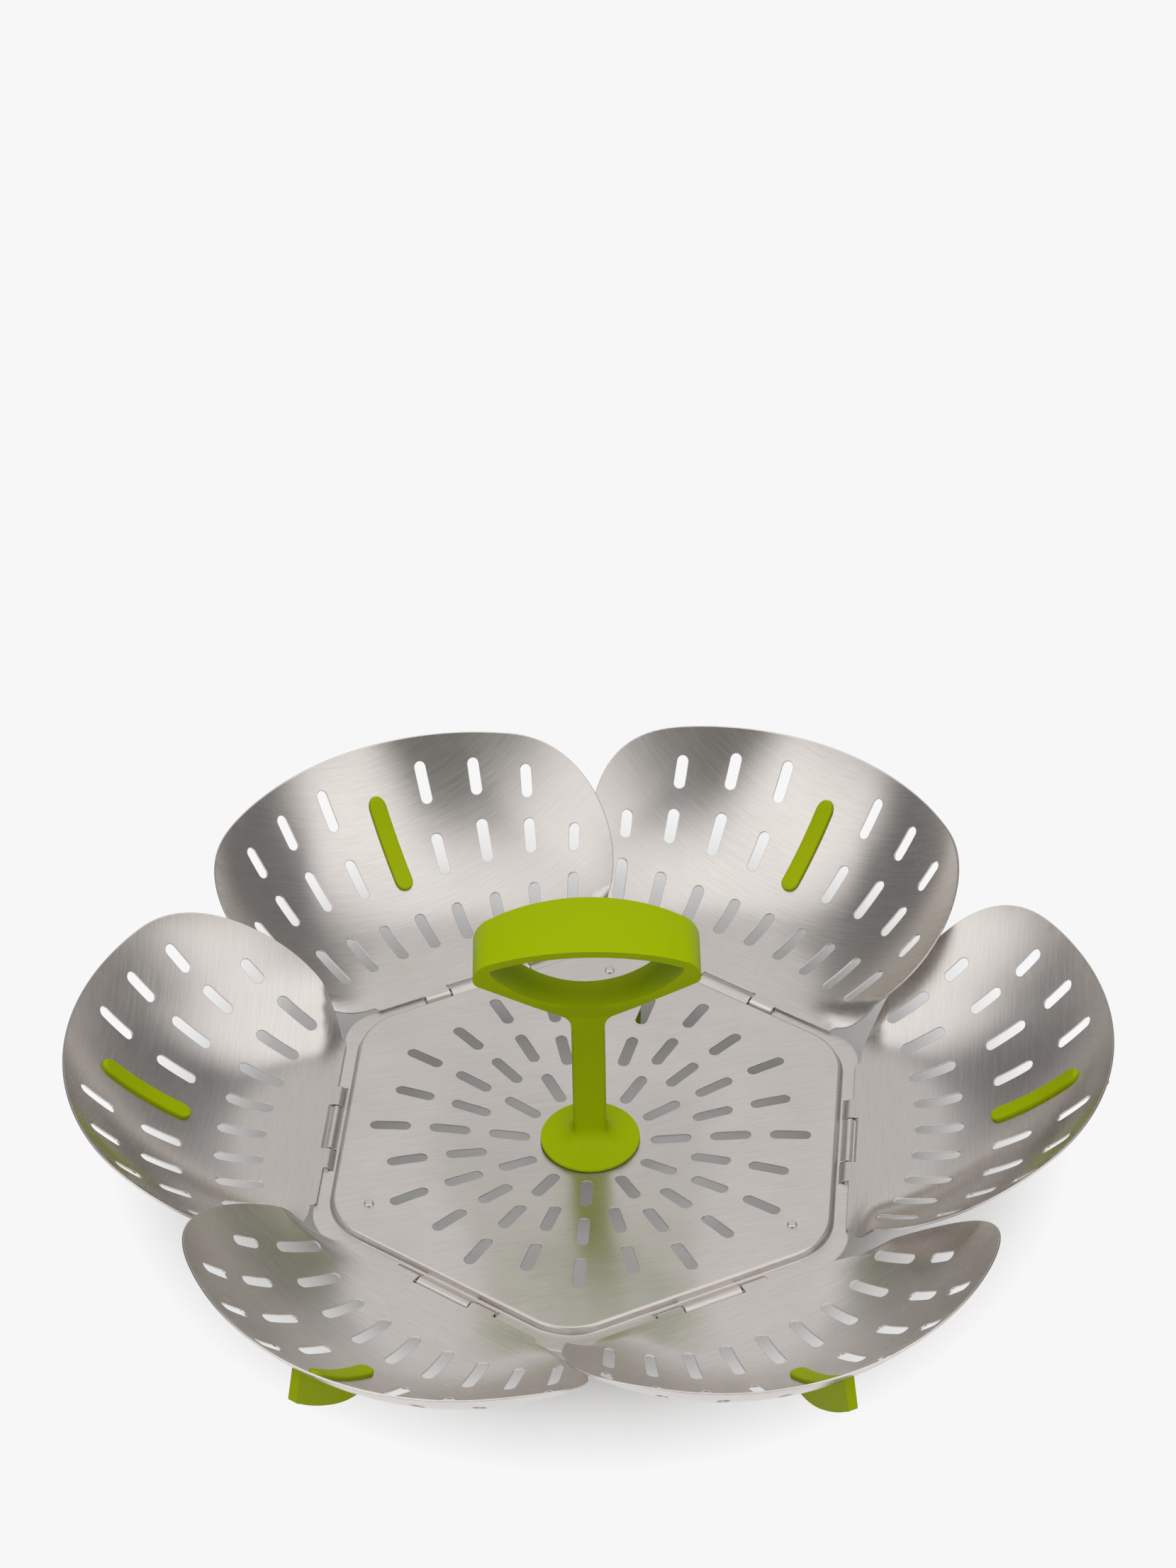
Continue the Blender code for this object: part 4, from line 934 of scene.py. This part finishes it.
def grip_outline():
    """The grip from the front, with the stem's fillets; heights run from the grip's base."""
    half = GRIP_HALF_WIDTH
    top = GRIP_HEIGHT - GRIP_TOP_RADIUS
    lean = math.asin((half - GRIP_CORNER) / GRIP_TOP_RADIUS)
    shoulder = arc((0, top), GRIP_TOP_RADIUS, math.pi / 2 - lean, math.pi / 2, 18)
    meet = (half, top + math.sqrt(GRIP_TOP_RADIUS**2 - half**2))
    low = (half, meet[1] - GRIP_END_WALL)
    stem = (STEM_WIDTH / 2, 0)
    bottom = (STEM_WIDTH / 2, -STEM_FILLET)
    right = [bottom]
    right += rounded_corner(bottom, stem, low, STEM_FILLET, 10)
    right += rounded_corner(stem, low, meet, GRIP_LOWER_CORNER, 10)
    right += rounded_corner(low, meet, shoulder[1], GRIP_CORNER, 12)
    right += shoulder[1:]
    return right + [(-x, y) for x, y in right[-2::-1]]


def hoop_outline():
    """The opening of the grip from the front: flat arch above, round floor below."""
    ceiling_radius = GRIP_TOP_RADIUS - GRIP_WALL
    ceiling = GRIP_HEIGHT - GRIP_TOP_RADIUS
    floor = HOOP_FLOOR_HEIGHT + HOOP_FLOOR_RADIUS
    rise = floor - ceiling
    meet = (ceiling_radius**2 - HOOP_FLOOR_RADIUS**2 + rise**2) / (2 * rise)
    half = math.sqrt(ceiling_radius**2 - meet**2) - HOOP_END_ROOM
    up = math.asin(half / ceiling_radius)
    down = math.asin(half / HOOP_FLOOR_RADIUS)
    roof = arc((0, ceiling), ceiling_radius, math.pi / 2 - up, math.pi / 2 + up, 32)
    base = arc((0, floor), HOOP_FLOOR_RADIUS, -math.pi / 2 - down, -math.pi / 2 + down, 32)
    return roof + base


def depth_outline():
    """The grip from the side: half depth grows from the stem to the top."""
    steps = 24
    heights, depths = zip(*GRIP_DEPTH_SHARES)
    shares = [(-STEM_FILLET, depths[0])]
    for i in range(1, steps + 1):
        shares.append((GRIP_HEIGHT * i / steps, float(np.interp(i / steps, heights, depths))))
    shares.append((GRIP_TOOL_HEIGHT, depths[-1]))
    right = [(GRIP_DEPTH_TOP / 2 * deep, height) for height, deep in shares]
    return right + [(-x, y) for x, y in reversed(right)]


def make_handle():
    """Foot, stem and hoop of the handle, in one moulding."""
    lift = shift(0, 0, GRIP_BASE)
    grip = outline_object("grip", [grip_outline(), hoop_outline()], GRIP_TOOL_DEPTH)
    grip.matrix_world = lift @ UPRIGHT
    side = outline_object("grip_side", [depth_outline()], GRIP_TOOL_WIDTH)
    side.matrix_world = lift @ spin(math.pi / 2) @ UPRIGHT
    grip = rounded(combine(settle(grip), settle(side), "INTERSECT"), GRIP_BEVEL, 4, 35)
    handle = combine(grip, make_stem(), "UNION")
    handle.name = "moulded_handle"
    handle.matrix_world = shift(0, 0, SEAT_HEIGHT + GAP) @ spin(HANDLE_TURN)
    return smooth(handle, 40)


def strip_object():
    """The foot's strip on the petal's inner face, with a rounded top edge."""
    half = STRIP_WIDTH / 2
    edge = STRIP_ROUNDING
    start = RAY_REACH * STRIP_SHARE - FOCUS_IN - STRIP_LENGTH / 2
    count = 14
    ends = [half * (1 - math.cos(math.pi / 2 * k / 8)) for k in range(1, 9)]
    backs = [STRIP_TIP, *ends]
    backs += [half + (STRIP_LENGTH - 2 * half) * k / count for k in range(1, count)]
    backs += [STRIP_LENGTH - back for back in [*reversed(ends), STRIP_TIP]]
    rings = []
    for back in backs:
        near = min(back, STRIP_LENGTH - back)
        wide = math.sqrt(half**2 - max(half - near, 0) ** 2)
        top = STRIP_HEIGHT - edge + math.sqrt(edge**2 - max(edge - near, 0) ** 2)
        reach = min(edge, wide * STRIP_ROUNDING_SHARE)
        profile = [(-wide, -SHEET / 2), (-wide, max(top - edge, 0))]
        for k in range(1, 6):
            angle = math.pi / 2 * k / 5
            profile.append((-wide + reach * (1 - math.cos(angle)), top - edge + edge * math.sin(angle)))
        profile += [(-x, z) for x, z in reversed(profile)]
        place = petal_frame(start + back, BOWL_SIDE)
        rings.append([place @ Vector((0, x, z)) for x, z in profile])
    return loft("strip", rings)


def make_foot():
    """The silicone foot: strip on the inner face and fin on the outer face."""
    end = FIN_START + FIN_LENGTH * FIN_TOP_SHARE
    outline = []
    for k in range(25):
        point = petal_frame(FIN_START + (end - FIN_START) * k / 24, BOWL_SIDE) @ Vector((0, 0, -SHEET))
        outline.append((point.x, point.z))
    edge = [outline[-1]]
    for out_share, depth_share in reversed(FIN_BACK_SHARES + FIN_FRONT_SHARES):
        out = FIN_START + FIN_LENGTH * out_share
        edge.append((out, petal_point(out, BOWL_SIDE).z - FIN_DEPTH * depth_share))
    edge.append(outline[0])
    outline += softened(edge, 3)[1:-1]
    fin = outline_object("fin", [outline], SLOT_WIDTH - 2 * GAP)
    fin.matrix_world = shift(0, BOWL_SIDE, 0) @ UPRIGHT
    fin = rounded(settle(fin), FIN_ROUNDING, 4, 40)
    return smooth(join_objects("petal_foot", [fin, strip_object()]), 45)


def softened(points, rounds):
    """An open outline with its corners cut again and again, which leaves a smooth curve."""
    for _ in range(rounds):
        cut = [points[0]]
        for a, b in zip(points, points[1:]):
            cut.append((a[0] * 0.75 + b[0] * 0.25, a[1] * 0.75 + b[1] * 0.25))
            cut.append((a[0] * 0.25 + b[0] * 0.75, a[1] * 0.25 + b[1] * 0.75))
        points = cut + [points[-1]]
    return points


def join_objects(name, objects):
    """One object of several meshes that touch."""
    bm = bmesh.new()
    for obj in objects:
        bm.from_mesh(taken_mesh(obj))
    return bmesh_object(name, bm)


def pin_object():
    """A hinge's wire pin along the Y axis, with chamfered ends."""
    half = TAB_WIDTH / 2 + HINGE_GAP + TONGUE_WIDTH - PIN_INSET
    profile = [(0, half), (PIN_RADIUS - PIN_CHAMFER, half), (PIN_RADIUS, half - PIN_CHAMFER)]
    profile += [(radius, -height) for radius, height in reversed(profile)]
    pin = turned("pin", profile, 20, 40)
    pin.data.transform(UPRIGHT)
    return pin


def leg_object():
    """A leg: strip bent from under the rivet down to the tip."""
    top = STAND_HEIGHT - SHEET - GAP
    half = LEG_WIDTH / 2
    centre = (LEG_REACH - LEG_BEND, top - LEG_BEND)
    path = [(-LEG_REACH, top), *arc(centre, LEG_BEND, math.pi / 2, 0, 12), (LEG_REACH, TIP_FLOOR + GAP)]
    rings = []
    for i, (out, height) in enumerate(path):
        ahead = (Vector(path[min(i + 1, len(path) - 1)]) - Vector(path[max(i - 1, 0)])).normalized()
        ring = []
        for across, deep in ((-half, 0), (half, 0), (half, LEG_SHEET), (-half, LEG_SHEET)):
            ring.append((out + ahead.y * deep, across, height - ahead.x * deep))
        rings.append(ring)
    return smooth(rounded(loft("leg", rings), LEG_ROUNDING, 2, 40), 40)


def tip_object():
    """A silicone boot on a leg's end."""
    centre = (LEG_REACH - LEG_SHEET / 2, 0, TIP_HEIGHT / 2)
    tip = box_object("leg_tip", (TIP_DEPTH, TIP_WIDTH, TIP_HEIGHT), centre)
    return smooth(rounded(tip, TIP_ROUNDING, 5, 40), 60)


def rivet_object():
    """A domed rivet with its closed head under the leg."""
    head = STAND_HEIGHT
    foot = STAND_HEIGHT - SHEET - LEG_SHEET - 3 * GAP
    profile = [(0.0, head + RIVET_HEAD_HEIGHT)]
    for k in range(8):
        angle = math.pi / 2 * (1 - k / 7)
        across = RIVET_FLAT_SHARE + (1 - RIVET_FLAT_SHARE) * math.cos(angle)
        up = RIVET_RIM_SHARE + RIVET_DOME_SHARE * math.sin(angle)
        profile.append((RIVET_HEAD_RADIUS * across, head + RIVET_HEAD_HEIGHT * up))
    profile += [(RIVET_HEAD_RADIUS, head), (RIVET_RADIUS, head)]
    profile += [(RIVET_RADIUS, foot), (RIVET_HEAD_RADIUS, foot)]
    profile += [(RIVET_HEAD_RADIUS, foot - RIVET_HEAD_HEIGHT / 2), (0, foot - RIVET_HEAD_HEIGHT)]
    return turned("leg_rivet", profile, 32, 50)


def washer_object():
    """The washer under the plate."""
    top = SEAT_HEIGHT - SHEET - GAP
    low = top - WASHER_THICKNESS
    hole = SCREW_RADIUS + GAP
    rim = WASHER_RADIUS - WASHER_CHAMFER
    profile = [(hole, low), (hole, top), (rim, top), (WASHER_RADIUS, top - WASHER_CHAMFER)]
    profile += [(WASHER_RADIUS, low + WASHER_CHAMFER), (rim, low), (hole, low)]
    return turned("washer", profile, 48, 30)


def screw_object():
    """The screw with a rounded head and a cross recess, from below."""
    head_top = SEAT_HEIGHT - SHEET - 2 * GAP - WASHER_THICKNESS
    head_low = head_top - SCREW_HEAD_HEIGHT
    tip = head_top + SCREW_LENGTH
    profile = [(0, tip), (SCREW_RADIUS - SCREW_CHAMFER, tip), (SCREW_RADIUS, tip - SCREW_CHAMFER)]
    profile += [(SCREW_RADIUS, head_top), (SCREW_HEAD_RADIUS, head_top)]
    for k in range(8):
        angle = math.pi / 2 * k / 8
        rise = SCREW_HEAD_HEIGHT * SCREW_DOME_SHARE * (1 - math.sin(angle))
        profile.append((SCREW_HEAD_RADIUS * math.cos(angle), head_low + rise))
    screw = turned("screw", [*profile, (0, head_low)], 48, 40)
    for turn in (0, math.pi / 2):
        recess = box_object("recess", RECESS_SIZE, (0, 0, head_low), RECESS_END_SHARE)
        recess.matrix_world = spin(turn)
        screw = combine(screw, recess, "DIFFERENCE")
    return smooth(screw, 40)


# Materials

def node_adder(tree):
    """A helper that adds a node to a tree, sets or links its inputs and gives one of its outputs."""
    def add(kind, output, inputs=(), **settings):
        node = tree.nodes.new("ShaderNode" + kind)
        for key, value in settings.items():
            setattr(node, key, value)
        for key, value in dict(inputs).items():
            if isinstance(value, bpy.types.NodeSocket):
                tree.links.new(value, node.inputs[key])
            else:
                node.inputs[key].default_value = value
        return node.outputs[output]

    return add


def calculate(add, operation, first, second=0.0):
    """The result of a sum with two values."""
    return add("Math", 0, {0: first, 1: second}, operation=operation)


def mixed(add, factor, first, second, **settings):
    """A mix of two values or colours."""
    return add("Mix", "Result", {"Factor": factor, "A": first, "B": second}, **settings)


def noise(add, place, scale, detail, roughness):
    """A noise texture's value; three scales stretch it."""
    if isinstance(scale, tuple):
        place = add("Mapping", "Vector", {"Vector": place, "Scale": scale})
        scale = 1.0
    return add("TexNoise", "Fac", {"Vector": place, "Scale": scale, "Detail": detail, "Roughness": roughness})


def ramp(add, value, start, end, low=0.0, high=1.0, **settings):
    """A value brought from the range between start and end to the range from low to high, and kept there."""
    inputs = {"Value": value, "From Min": start, "From Max": end, "To Min": low, "To Max": high}
    return add("MapRange", "Result", inputs, **settings)


def new_material(name):
    """A node material, its tree, its shader and a helper that adds nodes."""
    material = bpy.data.materials.new(name)
    material.use_nodes = True
    tree = material.node_tree
    return material, tree, tree.nodes["Principled BSDF"], node_adder(tree)


def link_surface(tree, shader, colour, roughness, normal):
    """Links what varies over a surface to its shader."""
    for name, output in (("Base Color", colour), ("Roughness", roughness), ("Normal", normal)):
        tree.links.new(output, shader.inputs[name])


def brushed_steel(name, rough, uv=True):
    """Brushed stainless steel, streaked along the grain map's U axis, or the piece's X axis without it."""
    material, tree, shader, add = new_material(name)
    place = add("UVMap", "UV", uv_map="grain") if uv else add("TexCoord", "Object")
    fine = noise(add, place, FINE_STREAKS, 3.0, 0.6)
    wide = noise(add, place, WIDE_STREAKS, 2.0, 0.5)
    cloud = noise(add, place, STEEL_CLOUDS, 3.0, 0.55)
    streaks = mixed(add, 0.35, fine, wide)
    shade = ramp(add, mixed(add, 0.3, streaks, cloud), *NOISE_RANGE)
    colour = mixed(add, shade, STEEL_DARK, STEEL_LIGHT, data_type="RGBA")
    gloss = ramp(add, mixed(add, 0.5, streaks, cloud), *NOISE_RANGE, *rough)
    bump = add("Bump", "Normal", {"Height": streaks, "Strength": STREAK_BUMP, "Distance": STREAK_DEPTH})
    link_surface(tree, shader, colour, gloss, bump)
    shader.inputs["Metallic"].default_value = 1.0
    if uv:
        shader.inputs["Anisotropic"].default_value = 0.9
        shader.inputs["Anisotropic Rotation"].default_value = 0.25
        tangent = add("Tangent", "Tangent", direction_type="UV_MAP", uv_map="grain")
        tree.links.new(tangent, shader.inputs["Tangent"])
    return material


def moulded(name, colour, shade, rough, texture_scale, bump_strength):
    """A moulded lime plastic or silicone: slight colour and gloss variation and a fine texture."""
    material, tree, shader, add = new_material(name)
    place = add("TexCoord", "Object")
    cloud = noise(add, place, LIME_CLOUDS, 4.0, 0.6)
    grain = noise(add, place, texture_scale, 2.0, 0.5)
    tint = mixed(add, cloud, shade, colour, data_type="RGBA")
    gloss = ramp(add, cloud, *NOISE_RANGE, *rough)
    bump = add("Bump", "Normal", {"Height": grain, "Strength": bump_strength, "Distance": GRAIN_DEPTH})
    link_surface(tree, shader, tint, gloss, bump)
    shader.inputs["Specular IOR Level"].default_value = 0.05
    return material


def dress(obj, material, body, node, slot):
    """Gives a new piece its material, its body and the CAD node it stands for; the slot is not used."""
    obj.data.materials.clear()
    obj.data.materials.append(material)
    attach(obj, body)
    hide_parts(node)


def build_basket():
    """All pieces of the basket in their places."""
    plate_steel = brushed_steel("plate_steel", PLATE_ROUGH)
    petal_steel = brushed_steel("petal_steel", PETAL_ROUGH)
    small_steel = brushed_steel("fastener_steel", SMALL_ROUGH, uv=False)
    leg_steel = brushed_steel("leg_steel", SMALL_ROUGH, uv=False)
    nylon = moulded("lime_nylon", *NYLON)
    silicone = moulded("lime_silicone", *SILICONE)
    plate = add_object("steel_plate", plate_mesh())
    dress(plate, plate_steel, "base", "floor_plate", "plate_steel")
    leaf = petal_mesh()
    foot_mesh = taken_mesh(make_foot())
    pin_mesh = taken_mesh(pin_object())
    for i in range(PETALS):
        number = i + 1
        body = f"petal_leaf_{number}"
        hinge = spin(PETAL_STEP * i) @ shift(HINGE_RADIUS, 0, HINGE_HEIGHT)
        petal = add_copy(f"steel_petal_{number}", leaf, hinge)
        dress(petal, petal_steel, body, f"petal_{number}", "petal_steel")
        foot = add_copy(f"silicone_foot_{number}", foot_mesh, hinge)
        dress(foot, silicone, body, f"petal_foot_{number}", "foot_silicone")
        pin = add_copy(f"wire_pin_{number}", pin_mesh, hinge @ shift(0, HINGE_SIDE, 0))
        dress(pin, small_steel, "base", f"hinge_pin_{number}", "fastener_steel")
    dress(make_handle(), nylon, "base", "handle", "handle_nylon")
    dress(washer_object(), small_steel, "base", "handle_washer", "fastener_steel")
    dress(screw_object(), small_steel, "base", "handle_screw", "fastener_steel")
    shapes = (
        ("leg", leg_object(), leg_steel, "leg_steel"),
        ("leg_tip", tip_object(), silicone, "tip_silicone"),
        ("leg_rivet", rivet_object(), small_steel, "fastener_steel"),
    )
    for name, shape, material, slot in shapes:
        mesh = taken_mesh(shape)
        for i in range(LEGS):
            place = spin(LEG_TURN + LEG_STEP * i) @ shift(RIVET_CIRCLE, 0, 0)
            piece = add_copy(f"fine_{name}_{i + 1}", mesh, place)
            dress(piece, material, "base", f"{name}_{i + 1}", slot)


# Camera, floor and light

def make_camera():
    """The camera at the photograph's place, fitted to the slots, hexagon and rivets."""
    data = bpy.data.cameras.new("camera")
    data.sensor_width = SENSOR
    data.lens = FOCAL_PIXELS * SENSOR / PHOTO_HEIGHT
    data.clip_start = 0.01
    data.clip_end = 100
    forward = Vector((0, math.cos(PITCH), -math.sin(PITCH)))
    right = Vector((1, 0, 0))
    down = forward.cross(right)
    right_rolled = right * math.cos(ROLL) + down * math.sin(ROLL)
    down_rolled = down * math.cos(ROLL) - right * math.sin(ROLL)
    shift_x = (CENTRE_PIXEL[0] - PHOTO_WIDTH / 2) / FOCAL_PIXELS
    shift_y = (CENTRE_PIXEL[1] - PHOTO_HEIGHT / 2) / FOCAL_PIXELS
    axes = Matrix((right_rolled, -down_rolled, -forward)).transposed().to_4x4()
    axes.translation = -(right_rolled * shift_x + down_rolled * shift_y + forward) * DISTANCE
    camera = add_object("camera", data)
    camera.matrix_world = shift(0, 0, STAND_HEIGHT) @ spin(HANDLE_TURN) @ axes
    bpy.context.scene.camera = camera


def make_floor():
    """A wide pale floor that keeps the shadow near the basket, and shows as almost white to the camera and in
    the steel: a painted glow that grows with distance from the basket fades the shadow out.
    """
    bm = bmesh.new()
    bmesh.ops.create_grid(bm, x_segments=1, y_segments=1, size=FLOOR_SIZE)
    floor = bmesh_object("floor", bm)
    floor.rotation_euler.z = HANDLE_TURN
    material, tree, shader, add = new_material("floor")
    shader.inputs["Base Color"].default_value = FLOOR_COLOUR
    shader.inputs["Roughness"].default_value = 1.0
    shader.inputs["Specular IOR Level"].default_value = 0.0
    seen = calculate(add, "MAXIMUM", add("LightPath", "Is Camera Ray"), add("LightPath", "Is Glossy Ray"))
    # Painted glow: the floor's white share rises from its least value to full across an oval round the
    # basket, which washes out the real shadow further out
    painted_glow_place = add("Mapping", "Vector", {
        "Vector": add("TexCoord", "Object"),
        "Scale": (1 / PAINTED_GLOW_HALF_WIDTH, 1 / PAINTED_GLOW_HALF_DEPTH, 1.0),
        "Location": (0.0, -PAINTED_GLOW_BACK / PAINTED_GLOW_HALF_DEPTH, 0.0),
    })
    reach = add("VectorMath", "Value", {0: painted_glow_place}, operation="LENGTH")
    painted_glow = ramp(add, reach, PAINTED_GLOW_START_SHARE, PAINTED_GLOW_FULL_SHARE, PAINTED_GLOW_LEAST)
    white = add("Emission", "Emission", {"Strength": BACKDROP_WHITE})
    share = calculate(add, "MULTIPLY", seen, painted_glow)
    mix = add("MixShader", 0, {0: share, 1: shader.outputs[0], 2: white})
    tree.links.new(mix, tree.nodes["Material Output"].inputs["Surface"])
    floor.data.materials.append(material)


def soft_box(add, direction, azimuth, tilt, half_width, half_height, softness):
    """A value that is 1 on a soft-edged box in the sky and 0 round it; sizes are tangents of half angles."""
    turn = HANDLE_TURN + math.radians(azimuth)
    lean = math.radians(tilt)
    sideways = Vector((-math.sin(turn), math.cos(turn), 0.0))
    upright = Vector((0.0, 0.0, 1.0))
    facing = sideways * math.sin(lean) + upright * math.cos(lean)
    across = Vector((math.cos(turn), math.sin(turn), 0.0))
    upward = upright * math.sin(lean) - sideways * math.cos(lean)
    parts = []
    for axis in (facing, across, upward):
        parts.append(add("VectorMath", "Value", {0: direction, 1: axis}, operation="DOT_PRODUCT"))
    ahead = parts[0]
    mask = calculate(add, "GREATER_THAN", ahead, BOX_FACING)
    for along, half in zip(parts[1:], (half_width, half_height)):
        place = calculate(add, "ABSOLUTE", calculate(add, "DIVIDE", along, ahead))
        edge = ramp(add, place, half + softness, half - softness, interpolation_type="SMOOTHSTEP")
        mask = calculate(add, "MULTIPLY", mask, edge)
    return mask


def make_lamps():
    """Wide soft lamps for the diffuse light; the metal reflects the sky instead."""
    for name, azimuth, tilt, spread_angle, level in LAMPS:
        data = bpy.data.lights.new(name, "SUN")
        data.angle = math.radians(spread_angle)
        data.energy = level * math.pi
        lamp = add_object(name, data)
        lamp.visible_glossy = False
        turn = spin(HANDLE_TURN + math.radians(azimuth))
        lamp.matrix_world = turn @ Matrix.Rotation(-math.radians(tilt), 4, "X")


def make_sky():
    """A studio sky for reflections: dim, with soft boxes; the camera sees it as the white backdrop."""
    world = bpy.data.worlds.new("world")
    bpy.context.scene.world = world
    world.use_nodes = True
    world.cycles_visibility.diffuse = False
    tree = world.node_tree
    add = node_adder(tree)
    direction = add("TexCoord", "Generated")
    level = 0.0
    for *shape, strength in SKY:
        box = calculate(add, "MULTIPLY", soft_box(add, direction, *shape), strength)
        level = calculate(add, "MAXIMUM", level, box)
    level = calculate(add, "ADD", level, SKY_BASE)
    level = mixed(add, add("LightPath", "Is Camera Ray"), level, BACKDROP_WHITE)
    background = tree.nodes["Background"]
    background.inputs["Color"].default_value = (1, 1, 1, 1)
    tree.links.new(level, background.inputs["Strength"])


make_camera()
make_floor()
make_lamps()
make_sky()
build_basket()
bpy.context.scene.view_settings.view_transform = "Standard"
